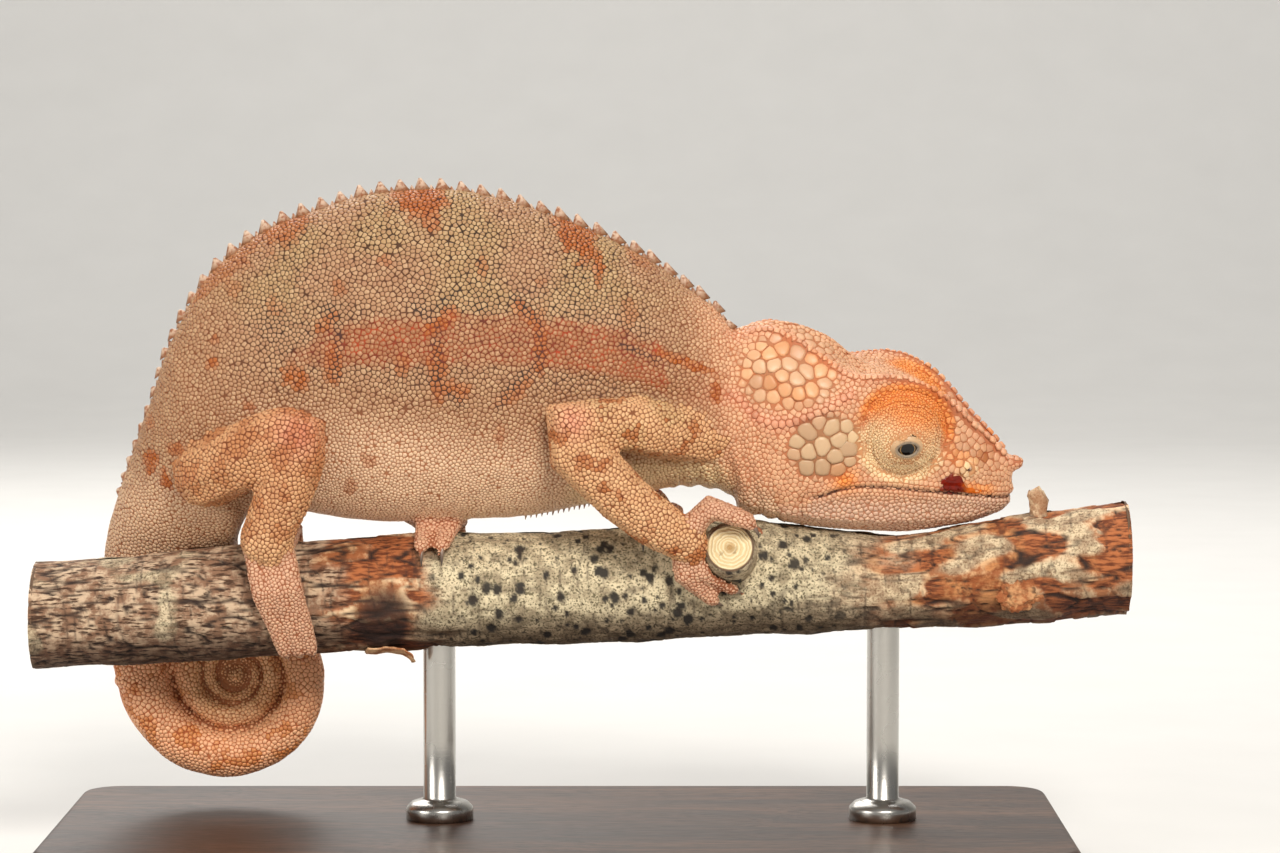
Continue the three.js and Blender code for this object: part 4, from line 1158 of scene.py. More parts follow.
# %% Build the coat piece by piece
RINGS = [(1.0, -0.07), (0.95, 0.5), (0.7, 0.92)]   # [share of outline, share of height]
FEW_RINGS = [(1.0, -0.07), (0.85, 0.74)]
PATCH = 0.003        # width of a scale's patch on the unwrap, whose whole width is one


def scale_corners(which, shape, turns, outline):
    """All the corners of the chosen scales: one row of rings and a crown for each scale."""
    rings = []
    rounded = np.minimum(outline, 0.5 * outline + 0.25 * (np.roll(outline, 1, 1) + np.roll(outline, -1, 1)))
    ways = (np.cos(turns)[..., None] * tangent[which][:, None]
            + np.sin(turns)[..., None] * sideways[which][:, None])
    for spread, lift in shape:
        out = ((outline if spread > 0.99 else rounded) * spread)[..., None]
        level = (height[which] * lift if lift > 0 else np.full(len(which), lift))[:, None, None]
        rings.append(roots[which][:, None] + out * ways + level * outward[which][:, None])
    crown = roots[which] + outward[which] * height[which][:, None]
    return np.concatenate([*rings, crown[:, None]], axis=1)


def scale_faces(shape, n):
    """The faces of one scale with n corners: bands between rings, a fan at the crown, a floor."""
    top = n * len(shape)
    faces = []
    for band in range(len(shape) - 1):
        for i in range(n):
            j = (i + 1) % n
            faces.append([band * n + i, band * n + j, band * n + n + j, band * n + n + i])
    faces += [[top - n + i, top - n + (i + 1) % n, top] for i in range(n)]
    return faces + [list(range(n))[::-1]]


def unwrap(which):
    """Where each root lies on an unwrap of the skin, as two numbers from 0 to 1."""
    spots = np.zeros((len(which), 2))
    parts = np.unique(root_owner[which])
    cells = math.ceil(math.sqrt(len(parts)))
    for number, part in enumerate(parts):
        # each part is unrolled round its own long axis into a cell of its own
        mine = root_owner[which] == part
        away = roots[which][mine] - roots[which][mine].mean(0)
        thin, wide, along = (away @ np.linalg.eigh(away.T @ away)[1]).T
        length = max(np.ptp(along), 0.1)
        around = np.arctan2(thin, wide) / (2 * np.pi) + 0.5
        rolled = np.stack([(along - along.min()) / length, around], 1)
        spots[mine] = (0.03 + 0.94 * rolled + [number % cells, number // cells]) / cells
    return spots


def join_scales(which, shape, around):
    """One mesh of all the chosen scales, with a small patch for each on the unwrap."""
    turns, outline = outlines(which, around)
    corners = scale_corners(which, shape, turns, outline)
    count, per = corners.shape[:2]
    faces = scale_faces(shape, around)
    loops = np.concatenate(faces)
    begins = np.cumsum([0] + [len(f) for f in faces[:-1]])
    number = np.arange(count)[:, None]
    all_loops = (loops + per * number).ravel()
    starts = (begins + len(loops) * number).ravel()
    mesh = bpy.data.meshes.new("coat")
    mesh.vertices.add(count * per)
    mesh.vertices.foreach_set("co", corners.ravel())
    mesh.loops.add(len(all_loops))
    mesh.loops.foreach_set("vertex_index", all_loops.astype(np.int32))
    mesh.polygons.add(len(starts))
    mesh.polygons.foreach_set("loop_start", starts.astype(np.int32))
    mesh.update(calc_edges=True)
    mesh.validate()
    circle = np.stack([np.cos(turns), np.sin(turns)], 2)
    flat = np.concatenate([circle * s for s, _ in shape] + [np.zeros((count, 1, 2))], axis=1)
    patch = unwrap(which)[:, None] + PATCH / 2 * flat
    layer = mesh.uv_layers.new(name="OFBake")
    layer.data.foreach_set("uv", patch.reshape(-1, 2)[all_loops].astype(np.float32).ravel())
    lift = np.repeat([0.0, 0.6, 1.0][:len(shape)] + [1.0], [around] * len(shape) + [1])
    colour_by(mesh, {"rise": np.tile(lift, count)})
    colour_by(mesh, {k: v[which] for k, v in scale_marks.items()}, per)
    return mesh


# %% Clear the eyes and nostrils
# no scales grow over the eye's opening or inside the sealed gap between two solids
on_eye = np.zeros(len(roots), bool)
for side in SIDES:
    centre, gaze, _, _ = turret_frame(side)
    away = unit(roots - centre)
    on_eye |= (np.linalg.norm(roots - centre, axis=1) < TURRET_RADIUS + 1.5) & (away @ gaze > 0.963)
# the nostrils stay clear too, for their rims
beside_nostrils = from_head([[NOSTRIL[0], 3.6 * sign, NOSTRIL[1]] for sign in SIDES.values()])
nostrils = [tree_of_skin.find_nearest(place)[:2] for place in beside_nostrils]
for place, _ in nostrils:
    on_eye |= np.linalg.norm(roots - np.array(place), axis=1) < 0.85

# %% Grow the coat
# name: slot, words in the names of the solids it covers
COATS = {
    "head_coat": ("head_scales", "head"), "head_plates": ("head_scales", "head", "neck"),
    "jaw_coat": ("head_scales", "jaw"), "eyelid_coat": ("lid_scales", "eyelid"),
    "neck_coat": ("flank_scales", "neck"), "chest_coat": ("flank_scales", "chest"),
    "belly_coat": ("belly_scales", "belly"), "hip_coat": ("flank_scales", "hips"),
    "tail_coat": ("flank_scales", "tail_"), "coil_coat": ("flank_scales", "coil"),
    "arm_coat": ("limb_scales", "upper", "lower"), "leg_coat": ("limb_scales", "thigh", "shank"),
    "inner_foot_coat": ("limb_scales", "inner_toes"), "outer_foot_coat": ("limb_scales", "outer_toes"),
}
plate = (width > 1.0) & (bump == 0)
grown = 0
for name, (slot, *words) in COATS.items():
    plates = name == "head_plates"
    shape = RINGS if name.startswith("head") else FEW_RINGS
    which = np.flatnonzero(kind(root_owner, *words) & ~on_eye & (plate == plates))
    finish(name, join_scales(which, shape, CORNERS * (1 + plates)), SCALES[slot], slot)
    grown += len(which)
print("scales grown:", grown)

# %% [markdown]
# ## The crests
# A low crest of soft cones runs down the back, and a shorter row hangs under the belly. On the
# real animal these are single tall scales. Each cone here has nine sides, leans a little back and
# sinks into the skin at its foot, and its tip is bleached.

# %% Worn keratin of the crests
# a tall scale rubs on twigs, so its tip is dry, pale and matt and its foot keeps the flank's colour
bone_tip, tree = new_material("bleached_crest_scales")
where = add(tree, "TexCoord", {}, "Object")
patch = add(tree, "TexNoise", Vector=where, Scale=1800.0, Detail=2.0)
rise = add(tree, "Attribute", {"attribute_name": "rise"}, 2)
colour = add(tree, "Mix", MIXED, 2, s0=rise, s6="#96663f", s7="#d9bea6")
clean = add(tree, "MapRange", SOFT, s0=patch, s1=0.62, s2=0.45)
colour = add(tree, "Mix", MIXED, 2, s0=clean, s6="#96603f", s7=colour)
bump_node = add(tree, "Bump", Strength=0.3, Distance=0.00008, Height=patch)
shader = add(tree, "BsdfPrincipled", Base_Color=colour, Roughness=0.5, IOR=1.5, Normal=bump_node)
add(tree, "OutputMaterial", Surface=shader)


# %% Cones of the back and belly
def cones(stops):
    """A mesh of leaning cones. Each stop is a foot, a tip, a radius across and one along."""
    shape = bmesh.new()
    rise_of = []
    for foot, tip, across, along in stops:
        foot, axis = Vector(foot), Vector(tip) - Vector(foot)
        turn = axis.to_track_quat("Z", "Y").to_matrix()
        cone = bmesh.ops.create_cone(shape, cap_ends=True, segments=9, radius1=1, radius2=0.14, depth=1)
        for vertex in cone["verts"]:
            x, y, z = vertex.co
            vertex.co = foot + turn @ Vector((x * across, y * along, (z + 0.5) * axis.length))
            rise_of.append(float(z > 0))
    made = to_mesh(shape)
    colour_by(made, {"rise": rise_of})
    return made


CREST_SPACING = 3.0
fine = np.linspace(0.75, 15.0, 900)
middle, up, _, _ = trunk_section(fine)
backbone = middle + up
along = np.concatenate([[0], np.cumsum(np.linalg.norm(np.diff(backbone, axis=0), axis=1))])
stops = []
for number, mark in enumerate(np.arange(0, along[-1], CREST_SPACING / 2)):
    i = int(np.searchsorted(along, mark))
    t, top, out = fine[i], backbone[i], up[i] / np.linalg.norm(up[i])
    tall = 1.6 * min(1.0, max(0.35, (14 - t) / 4)) * min(1.0, max(0.5, (t - 0.6) / 1.5))
    # a tall cone every three millimetres, and a low one between
    tall *= (1.0 if number % 2 == 0 else 0.36) * (0.9 + 0.2 * chance.random())
    lean = np.array([-0.22 * out[2], 0, 0.22 * out[0]])
    foot = 1.45 if number % 2 == 0 else 0.6
    stops.append([top - out * 0.5, top + (out + lean) * tall, 0.55 * foot + 0.1, foot])
for x in np.arange(-5.0, 5.0, 0.78):
    t = np.interp(-x, -trunk_line(np.arange(LAST + 1))[:, 2], np.arange(LAST + 1))
    middle, up, _, _ = trunk_section(np.array(t))
    low = middle - up * 0.995
    stops.append([low + [0, 0, 0.5], low + [-0.15, 0, -0.5 - 0.25 * chance.random()], 0.32, 0.32])
finish("crest_cones", cones(stops), bone_tip, "flank_scales")

# %% [markdown]
# ## The eyes
# Only a small opening is left at the top of each turret, so a glossy ball shows there with a
# dark pupil and a pale iris. The lid's margin is a ring of tiny pale knobs that sits on the ball.

# %% The wet eye
# a thin film of tears makes the ball almost a mirror; the map called gaze runs out from the pupil
eye_finish, tree = new_material("wet_cornea_and_iris")
spot = add(tree, "UVMap", {"uv_map": "gaze"})
from_middle = add(tree, "SeparateXYZ", Vector=spot)
streak = add(tree, "TexNoise", Vector=spot, Scale=38.0, Detail=4.0)
iris = add(tree, "Mix", MIXED, 2, s0=streak, s6="#2c211a", s7="#4d3a29")
# [shares of the way out where the gold ring, the iris and the white of the eye begin]
gold = add(tree, "MapRange", SOFT, s0=from_middle, s1=0.46, s2=0.41)
colour = add(tree, "Mix", MIXED, 2, s0=gold, s6=iris, s7="#a8804a")
inner = add(tree, "Math", {"operation": "GREATER_THAN"}, s0=from_middle, s1=0.40)
colour = add(tree, "Mix", MIXED, 2, s0=inner, s6="#050404", s7=colour)
outer = add(tree, "MapRange", SOFT, s0=from_middle, s1=0.5, s2=0.6)
colour = add(tree, "Mix", MIXED, 2, s0=outer, s6=colour, s7="#2a201b")
shader = add(tree, "BsdfPrincipled", Base_Color=colour, Roughness=0.08, IOR=1.38,
             Coat_Weight=0.2, Coat_Roughness=0.03)
add(tree, "OutputMaterial", Surface=shader)

# %% Eyeballs
EYE_SIZES = (1.4, 0.95)      # half width and half height of the lid's opening
ball = bmesh.new()
bmesh.ops.create_uvsphere(ball, u_segments=48, v_segments=40, radius=EYE_RADIUS)
ball_mesh = to_mesh(ball)
print("eye radius:", EYE_RADIUS, "mm; opening:", [2 * s for s in EYE_SIZES], "mm")

for side in SIDES:
    centre, gaze, level, up = turret_frame(side)
    eyeball = ball_mesh.copy()
    spots = read(eyeball)
    angle = np.arccos(np.clip(spots[:, 2] / EYE_RADIUS, -1, 1))
    turn = np.arctan2(spots[:, 1], spots[:, 0])
    layer = eyeball.uv_layers.new(name="gaze")
    corners = np.empty(len(eyeball.loops), int)
    eyeball.loops.foreach_get("vertex_index", corners)
    layer.data.foreach_set("uv", np.stack([angle, turn / np.pi * 2], 1)[corners].ravel())
    write(eyeball, centre + EYE_DEPTH * gaze + spots @ np.stack([level, up, gaze]))
    finish(f"eye_{side}_ball", eyeball, eye_finish, "eyeball", f"eye_{side}")

# %% Skin of the lid margins
# dry, grey-brown skin in fine knobs, dull at the ball and as pale as the turret further out
lid_edge, tree = new_material("knobbly_lid_margin")
where = add(tree, "TexCoord", {}, "Object")
patch = add(tree, "TexNoise", Vector=where, Scale=2600.0, Detail=2.0)
colour = add(tree, "Mix", MIXED, 2, s0=patch, s6="#6e6153", s7="#a9977f")
# painted shade: the hollows between the fine knobs are darker
hollow_shade = add(tree, "MapRange", SOFT, s0=patch, s1=0.42, s2=0.34)
colour = add(tree, "Mix", MIXED, 2, s0=hollow_shade, s6=colour, s7="#5f4f46")
rise = add(tree, "Attribute", {"attribute_name": "rise"}, 2)
outer = add(tree, "MapRange", SOFT, s0=rise, s1=0.25, s2=0.6)
colour = add(tree, "Mix", MIXED, 2, s0=outer, s6=colour, s7="#c9a47c")
bump_node = add(tree, "Bump", Strength=0.35, Distance=0.00006, Height=patch)
shader = add(tree, "BsdfPrincipled", Base_Color=colour, Roughness=0.42, IOR=1.5, Normal=bump_node)
add(tree, "OutputMaterial", Surface=shader)


# %% The opening of the lid
def almond(turn, out):
    """A place so far outside the opening, whose ends are drawn out to points."""
    tall = EYE_SIZES[1] * (1 - 0.16 * math.cos(turn) ** 2)
    return (EYE_SIZES[0] + out) * math.cos(turn), (tall + out) * math.sin(turn)


def on_lid(wide, tall, blend):
    """How far out along the gaze the lid lies: on the ball at blend 0, on the turret at 1."""
    far = math.hypot(wide, tall)
    on_ball = EYE_DEPTH + math.sqrt(max(EYE_RADIUS ** 2 - far ** 2, 0.3))
    on_turret = math.sqrt(TURRET_RADIUS ** 2 - far ** 2)
    return on_ball + blend * (max(on_ball, on_turret) - on_ball)


# %% Lid margins
# the rim in section: [how far outside the opening, height above the lid]
RIM = [(0.0, -0.5), (0.0, 0.05), (0.07, 0.13), (0.16, 0.15), (0.3, 0.08), (0.5, 0.02), (0.75, -0.04),
       (1.05, -0.3)]
KNOBS = [(0.09, 34, 0.085), (0.25, 36, 0.10), (0.44, 38, 0.10)]   # [outside the opening, count, radius]
margin = bmesh.new()
edge_rise = []
for side in SIDES:
    centre, gaze, level, up = turret_frame(side)
    slant = math.radians(-8 * SIDES[side])
    wide_way = level * math.cos(slant) + up * math.sin(slant)
    tall_way = up * math.cos(slant) - level * math.sin(slant)
    # a soft rim, spun as a round ring and then drawn out to the almond of the opening
    ring = spun([(1 + out, 0, lift) for out, lift in RIM], 56)
    for vertex in ring.verts:
        out = math.hypot(vertex.co.x, vertex.co.y) - 1
        turn = math.atan2(vertex.co.y, vertex.co.x)
        wide, tall = almond(turn, out)
        edge_rise.append(out)
        vertex.co = Vector(centre + gaze * (on_lid(wide, tall, min(1, 3.2 * out)) + vertex.co.z)
                           + wide_way * wide + tall_way * tall)
    absorb(margin, ring)
    # three rings of small knobs on the rim
    for out, count, size in KNOBS:
        for turn in (np.arange(count) + 0.5 * (count % 4 > 0)) * 2 * np.pi / count:
            wide, tall = almond(turn, out)
            lift = on_lid(wide, tall, min(1, 3 * out)) + 0.08
            knob = bmesh.ops.create_icosphere(margin, subdivisions=1, radius=size)["verts"]
            edge_rise.extend([out] * len(knob))
            bmesh.ops.translate(margin, verts=knob, vec=Vector(
                centre + gaze * lift + wide_way * wide + tall_way * tall))
margin_mesh = to_mesh(margin)
colour_by(margin_mesh, {"rise": edge_rise})
finish("eyelid_margins", margin_mesh, lid_edge, "lid_scales")

# %% [markdown]
# ## Nostrils
# Each nostril is a small pit with a raised, moist rim that shines like a bead. The rim is a round
# profile spun round the pit and laid on the skin.

# %% Moist skin of the nostrils
# wet, thin, slightly see-through skin: pale where it is stretched over the rim, and painted dark in the pit as
# shade
moist, tree = new_material("moist_nostril_rim")
where = add(tree, "TexCoord", {}, "Object")
mottle = add(tree, "TexNoise", Vector=where, Scale=1500.0, Detail=2.0)
colour = add(tree, "Mix", MIXED, 2, s0=mottle, s6="#c9a184", s7="#f3ddc4")
rise = add(tree, "Attribute", {"attribute_name": "rise"}, 2)
# painted shade in the pit of the nostril
colour = add(tree, "Mix", MIXED, 2, s0=rise, s6="#4a2a1e", s7=colour)
shader = add(tree, "BsdfPrincipled", Base_Color=colour, Roughness=0.2, IOR=1.42,
             **SOFT_FLESH | {"Subsurface_Weight": 0.15})
add(tree, "OutputMaterial", Surface=shader)

# %% Nostril rims
# the rim in section: [radius, height above the skin]
NOSTRIL_RIM = [(0, -0.1), (0.16, -0.05), (0.28, 0.16), (0.42, 0.27), (0.58, 0.26), (0.74, 0.12), (0.84, -0.2)]
rims = bmesh.new()
rim_rise = []
for place, normal in nostrils:
    ring = spun([(radius, 0, height) for radius, height in NOSTRIL_RIM], 28)
    rim_rise.extend([float(math.hypot(v.co.x, v.co.y) > 0.25) for v in ring.verts])
    turn = normal.to_track_quat("Z", "Y").to_matrix()
    bmesh.ops.rotate(ring, verts=ring.verts, cent=(0, 0, 0), matrix=turn)
    bmesh.ops.translate(ring, verts=ring.verts, vec=place)
    absorb(rims, ring)
rim_mesh = to_mesh(rims)
colour_by(rim_mesh, {"rise": rim_rise})
finish("nostril_rims", rim_mesh, moist, "head_scales")

# %% [markdown]
# ## The dark fluid on the lip
# A little dark red fluid has dried beside the mouth on the right and runs out in amber along the
# lip. It is a glossy film over the scales: a ball, flattened on to the skin, thick enough in the
# middle to drown the scales and so thin at its edge that they stand out of it again.

# %% Dried fluid
# thick and almost black in the middle of the drop, clear amber where it has run out thin
fluid_finish, tree = new_material("dried_dark_fluid")
where = add(tree, "TexCoord", {}, "Object")
ragged = add(tree, "TexNoise", Vector=where, Scale=1400.0, Detail=2.0)
across = add(tree, "SeparateXYZ", Vector=where)
along = add(tree, "Math", {"operation": "MULTIPLY_ADD"}, s0=ragged, s1=0.0012, s2=across)
AMBER_FROM, AMBER_TO = 59.6, 61.2      # x in millimetres
amber = add(tree, "MapRange", SOFT, s0=along, s1=AMBER_FROM * MM, s2=AMBER_TO * MM)
dark = add(tree, "Mix", MIXED, 2, s0=ragged, s6="#3a0200", s7="#8c1c02")
colour = add(tree, "Mix", MIXED, 2, s0=amber, s6=dark, s7="#d0661a")
shader = add(tree, "BsdfPrincipled", Base_Color=colour, Roughness=0.1, IOR=1.34)
add(tree, "OutputMaterial", Surface=shader)

# %% The film of fluid
film = bmesh.new()
bmesh.ops.create_icosphere(film, subdivisions=5, radius=1)
for vertex in film.verts:
    along, deep, high = vertex.co
    ragged = noise.noise(vertex.co * 2.3)
    x = 31.7 + 3.0 * along + 0.3 * ragged
    half_height = 0.3 + 0.85 * float(soft(along, 0.3, -0.1))
    lip_side, lip_height = LIP(np.array(x))
    z = lip_height + 0.35 + half_height * (1 + high) + 0.35 * ragged
    place, normal, _, _ = tree_of_skin.find_nearest(from_head([[x, -lip_side, z]])[0])
    vertex.co = place + normal * (0.13 - (0.12 if deep < 0 else 0.3) * deep)
finish("lip_fluid", to_mesh(film), fluid_finish, "head_scales")

# %% [markdown]
# ## Claws
# Each toe ends in a small curved claw of horn. A cone is cut into short lengths and bent along a
# curve towards the bark, which is how a claw grows.

# %% Claw horn
# polished by the bark: brown-grey horn with fine streaks, darker and clearer at the tip
claw_horn, tree = new_material("claw_horn")
where = add(tree, "TexCoord", {}, "Object")
streaks = add(tree, "TexNoise", Vector=where, Scale=2400.0, Detail=2.0)
horn = add(tree, "Mix", MIXED, 2, s0=streaks, s6="#7d6656", s7="#a58c78")
colour = marked(tree, horn, {"rise": "#2c231f"})
bump_node = add(tree, "Bump", Strength=0.2, Distance=0.00004, Height=streaks)
shader = add(tree, "BsdfPrincipled", Base_Color=colour, Roughness=0.3, IOR=1.54, Normal=bump_node)
add(tree, "OutputMaterial", Surface=shader)

# %% Places round the branch
# [x, height of the branch's middle, its radius]
PERCH = smooth_line([
    [-78, 38.6, 7.8], [-68, 39.1, 8.0], [-48, 40.6, 8.4], [-24, 42.0, 8.5], [6, 42.9, 8.4],
    [30, 44.0, 8.4], [50, 43.7, 7.1], [65, 45.1, 7.8], [84, 47.2, 8.5]])


def around_perch(x, angle, above):
    """A point so far above the bark, with the angle in degrees from the top to the right flank."""
    x, angle = np.asarray(x, float), np.radians(angle)
    axis = PERCH(x)
    radius = axis[..., 1] + above
    return np.stack([x + 0 * radius, -radius * np.sin(angle), axis[..., 0] + radius * np.cos(angle)], -1)


# %% Claws
claws = bmesh.new()
claw_rise = []


def grow_claw(foot, ahead, inwards):
    """One claw, three millimetres long, that bends towards the bark."""
    shape = bmesh.new()
    bmesh.ops.create_cone(shape, cap_ends=True, segments=10, radius1=0.56, radius2=0.07, depth=1)
    long_edges = [e for e in shape.edges if abs(e.verts[0].co.z - e.verts[1].co.z) > 0.5]
    bmesh.ops.subdivide_edges(shape, edges=long_edges, cuts=5)
    aside = np.cross(ahead, inwards)
    for vertex in shape.verts:
        s = vertex.co.z + 0.5
        spine = foot + ahead * 3.0 * math.sin(1.1 * s) / 1.1 + inwards * 0.9 * s * s
        vertex.co = spine + aside * vertex.co.x * 0.8 + inwards * vertex.co.y
        claw_rise.append(s)
    absorb(claws, shape)


# [x of each tip, angle of the tip, way round the branch]
WRAPPED = [
    [(12.3, 14.6, 16.9), 34, 1], [(13.2, 15.6), -118, -1], [(-41.6, -39.2), -92, -1],
    [(-40.4, -38.4, -36.4), 136, 1], [(-20.2, -17.2), 42, 1], [(-19.6, -17.6, -15.6), -122, -1],
]
for tips, angle, way in WRAPPED:
    for x in tips:
        foot, later = around_perch(x, angle + 3 * way, 1.5), around_perch(x, angle + 9 * way, 1.4)
        middle = around_perch(x, angle + 3 * way, 0.0)
        grow_claw(foot, unit(later - foot), unit(middle - foot))
for k in range(3):
    ahead = unit(np.array([2.4, 0.3, -1.9]))
    foot = np.array([27.6, -14.6 + 2.3 * k, 53.7]) + 0.2 * ahead
    grow_claw(foot, ahead, unit(np.array([-0.62, 0, -0.78])))
for k in range(2):
    ahead = unit(np.array([2.9, 1.4, -1.7 - 0.6 * k]))
    foot = np.array([25.2 - 2.9 * k, -9.9, 43.6 - 1.5 * k]) + 0.2 * ahead
    grow_claw(foot, ahead, unit(np.cross(np.cross(ahead, [0.1, 1, 0.1]), ahead)))
claw_mesh = to_mesh(claws)
colour_by(claw_mesh, {"rise": np.clip(np.array(claw_rise) * 1.3 - 0.2, 0, 1)})
finish("claws", claw_mesh, claw_horn, "claw")

# %% [markdown]
# ## The branch
# The branch is a dead cut length, about 16 mm thick, whose bark is part grey lichen crust with
# dark spots, part red-brown bast where the bark peels. Relief and colour patches are worked out
# together on one fine tube, so a crack is dark where it is deep, partly by dark inner bark and
# partly by painted shade. Finer grain comes from the nodes.

# %% Patches of bark
ENDS = (-78, 84)
bark, share, turn = rolled_grid(560, 150)
x = ENDS[0] + (ENDS[1] - ENDS[0]) * share
angle = np.degrees(turn)
start = around_perch(x, angle, 0.0)
along_only = start * [0.16, 1, 1]       # stretched patterns, which run along the grain
waves = 0.14 * np.sin(0.21 * x + angle / 29) + 0.1 * np.sin(0.5 * x - angle / 41)
furrow = field(along_only, 1.5, 3.0)
fine = field(start * [0.3, 1, 1], 0.6, 7.0)
lump = field(start, 5.0, 11.0)
plate = field(start * [0.45, 1, 1], 3.2, 15.0)
# the cracks are coloured dark: partly dark inner bark, partly painted shade where they are deep
crack = soft(np.abs(furrow), 0.10, 0.0)
ring = soft(np.abs(field(start * [1, 0.25, 0.25], 2.2, 19.0)), 0.06, 0.0)
edge = 0.5 * lump + 0.35 * plate
lichen = soft(x + 9 * edge, -23, -15) * soft(x + 12 * edge, 54, 34)
lichen = np.maximum(lichen, 0.6 * soft(plate, 0.0, 0.25) * soft(x, 34, 50))
lichen = np.maximum(lichen, 0.7 * soft(lump + 0.5 * plate, 0.2, 0.4) * soft(x, -50, -60))
peel = soft(x + 8 * edge, -37, -31) * soft(x + 8 * edge, -8, -14)
peel = np.maximum(peel, soft(x + 10 * edge, 40, 50))
held = soft(x + 8 * edge, -30, -38)
step = soft(plate + 0.3 * furrow, -0.04, 0.06)
# painted shade: the bark is darkened on the underside of the branch
under = soft(np.cos(turn), -0.15, -0.75)
burnt = soft(np.hypot((x + 26) / 4.5, (start[:, 2] - 39) / 6) + 0.4 * edge, 1.1, 0.7)
amber = np.maximum(soft(lump + plate, 0.15, 0.5), soft(np.abs(x - 62) + 5 * edge, 7, 3))
dots = np.zeros(len(x))
for _ in range(460):
    mark = around_perch(-20 + 62 * chance.random() ** 0.9, 360 * chance.random(), 0.0)
    size = 0.3 + 0.75 * chance.random() ** 1.6
    away = np.hypot((start[:, 0] - mark[0]) / 0.8, np.linalg.norm(start[:, 1:] - mark[1:], axis=1))
    dots = np.maximum(dots, soft(away / size + 0.35 * fine, 1.1, 0.75))

# %% Relief of the bark
relief = (0.16 * lump + 0.10 * fine + 0.12 * furrow - 0.30 * crack * (1 - 0.7 * lichen)
          + (0.34 * step - 0.14) * peel + 0.12 * step * held - 0.12 * ring)
# the bark swells into a collar round the twig, and is pressed flat where the feet grip
knot = np.linalg.norm(start - around_perch(24.9, 28, 0.0), axis=1)
relief = relief + 0.8 * np.exp(-((knot - 5.4) / 1.5) ** 2) - 0.10 * dots
near_top = soft(np.cos(turn), 0.2, 0.7)
relief = relief * (1 - 0.4 * near_top) - 0.1 * near_top
put(bark, around_perch(x, angle, np.clip(relief + waves, -0.6, 0.9)))


# %% Mark the bark and close its seam
BARK_MARKS = ("lichen", "peel", "step", "amber", "burnt", "dots", "crack", "under")


def mark_bark(mesh, **shares):
    """Stores the shares of the bark's patches at every vertex. One that isn't given is nought."""
    colour_by(mesh, {name: shares.get(name, 0) + np.zeros(len(mesh.vertices)) for name in BARK_MARKS})


def marked_tube(shape, **shares):
    """A mesh of a rolled grid, marked as bark, with the seam along it closed."""
    mesh = bpy.data.meshes.new("tube")
    shape.to_mesh(mesh)
    mark_bark(mesh, **shares)
    shape.clear()
    shape.from_mesh(mesh)
    bmesh.ops.remove_doubles(shape, verts=shape.verts, dist=0.004)
    bmesh.ops.recalc_face_normals(shape, faces=shape.faces)
    shape.to_mesh(mesh)
    shape.free()
    return mesh


bark_mesh = marked_tube(bark, lichen=lichen, peel=peel * (1 - lichen), step=step, amber=amber, burnt=burnt,
                        under=under, dots=dots * np.maximum(lichen, 0.25),
                        crack=np.maximum(crack * (1 - 0.65 * lichen), 0.6 * ring))
print("bark:", len(bark_mesh.polygons), "faces")

# %% [markdown]
# ## The bark's finish
# Dead bark is dry and matt. Where it holds it is pinkish grey with dark streaks, where it peels
# the red-brown bast shows under it, and in the middle a crust of grey-green and cream lichen lies
# over both. Fibres half a millimetre apart run along the branch, and fine grit covers all of it.

# %% Dead bark
bark_finish, tree = new_material("dead_bark_with_lichen")
where = add(tree, "TexCoord", {}, "Object")
grain_place = add(tree, "Mapping", {"vector_type": "POINT"}, Vector=where, Scale=(0.22, 1, 1))
fibres = add(tree, "TexNoise", Vector=grain_place, Scale=2400.0, Detail=4.0)
grit = add(tree, "TexNoise", Vector=where, Scale=3200.0, Detail=3.0)
clouds = add(tree, "TexNoise", Vector=where, Scale=420.0, Detail=4.0, Roughness=0.65)
# each is a noise with two levels, and the colours that it runs between
TWO_TONES = {
    "held": (clouds, 0.4, 0.6, "#8f6b52", "#ccb092"), "bast": (fibres, 0.38, 0.62, "#6a3418", "#b2693c"),
    "flakes": (clouds, 0.42, 0.6, "#b4764c", "#e6c49c"), "resin": (clouds, 0.4, 0.62, "#8d4a22", "#d69a62"),
    "crust": (clouds, 0.36, 0.62, "#a8977a", "#e0d0ac"),
}
tones = {}
for name, (noise_here, low, high, one, other) in TWO_TONES.items():
    share = add(tree, "MapRange", SOFT, s0=noise_here, s1=low, s2=high)
    tones[name] = add(tree, "Mix", MIXED, 2, s0=share, s6=one, s7=other)
streaks = add(tree, "MapRange", SOFT, s0=fibres, s1=0.5, s2=0.36)
tones["held"] = add(tree, "Mix", MIXED, 2, s0=streaks, s6=tones["held"], s7="#49301f")
pits = add(tree, "MapRange", SOFT, s0=grit, s1=0.52, s2=0.36)
tones["crust"] = add(tree, "Mix", MIXED, 2, s0=pits, s6=tones["crust"], s7="#6f654b")
# the shares that are stored on the mesh lay them over one another
patches = {name: add(tree, "Attribute", {"attribute_name": name}, 2) for name in BARK_MARKS}
for name, most in (("amber", 0.6), ("burnt", 0.85), ("under", 0.75)):
    patches[name] = add(tree, "Math", {"operation": "MULTIPLY"}, s0=patches[name], s1=most)
bast = tones["bast"]
for name, over in (("step", "flakes"), ("amber", "resin")):
    bast = add(tree, "Mix", MIXED, 2, s0=patches[name], s6=bast, s7=tones[over])
colour = tones["held"]
for name, over in (("peel", bast), ("lichen", tones["crust"]), ("burnt", "#35201a"), ("dots", "#38332c"),
                   ("crack", "#2e1f18")):
    colour = add(tree, "Mix", MIXED, 2, s0=patches[name], s6=colour, s7=over)
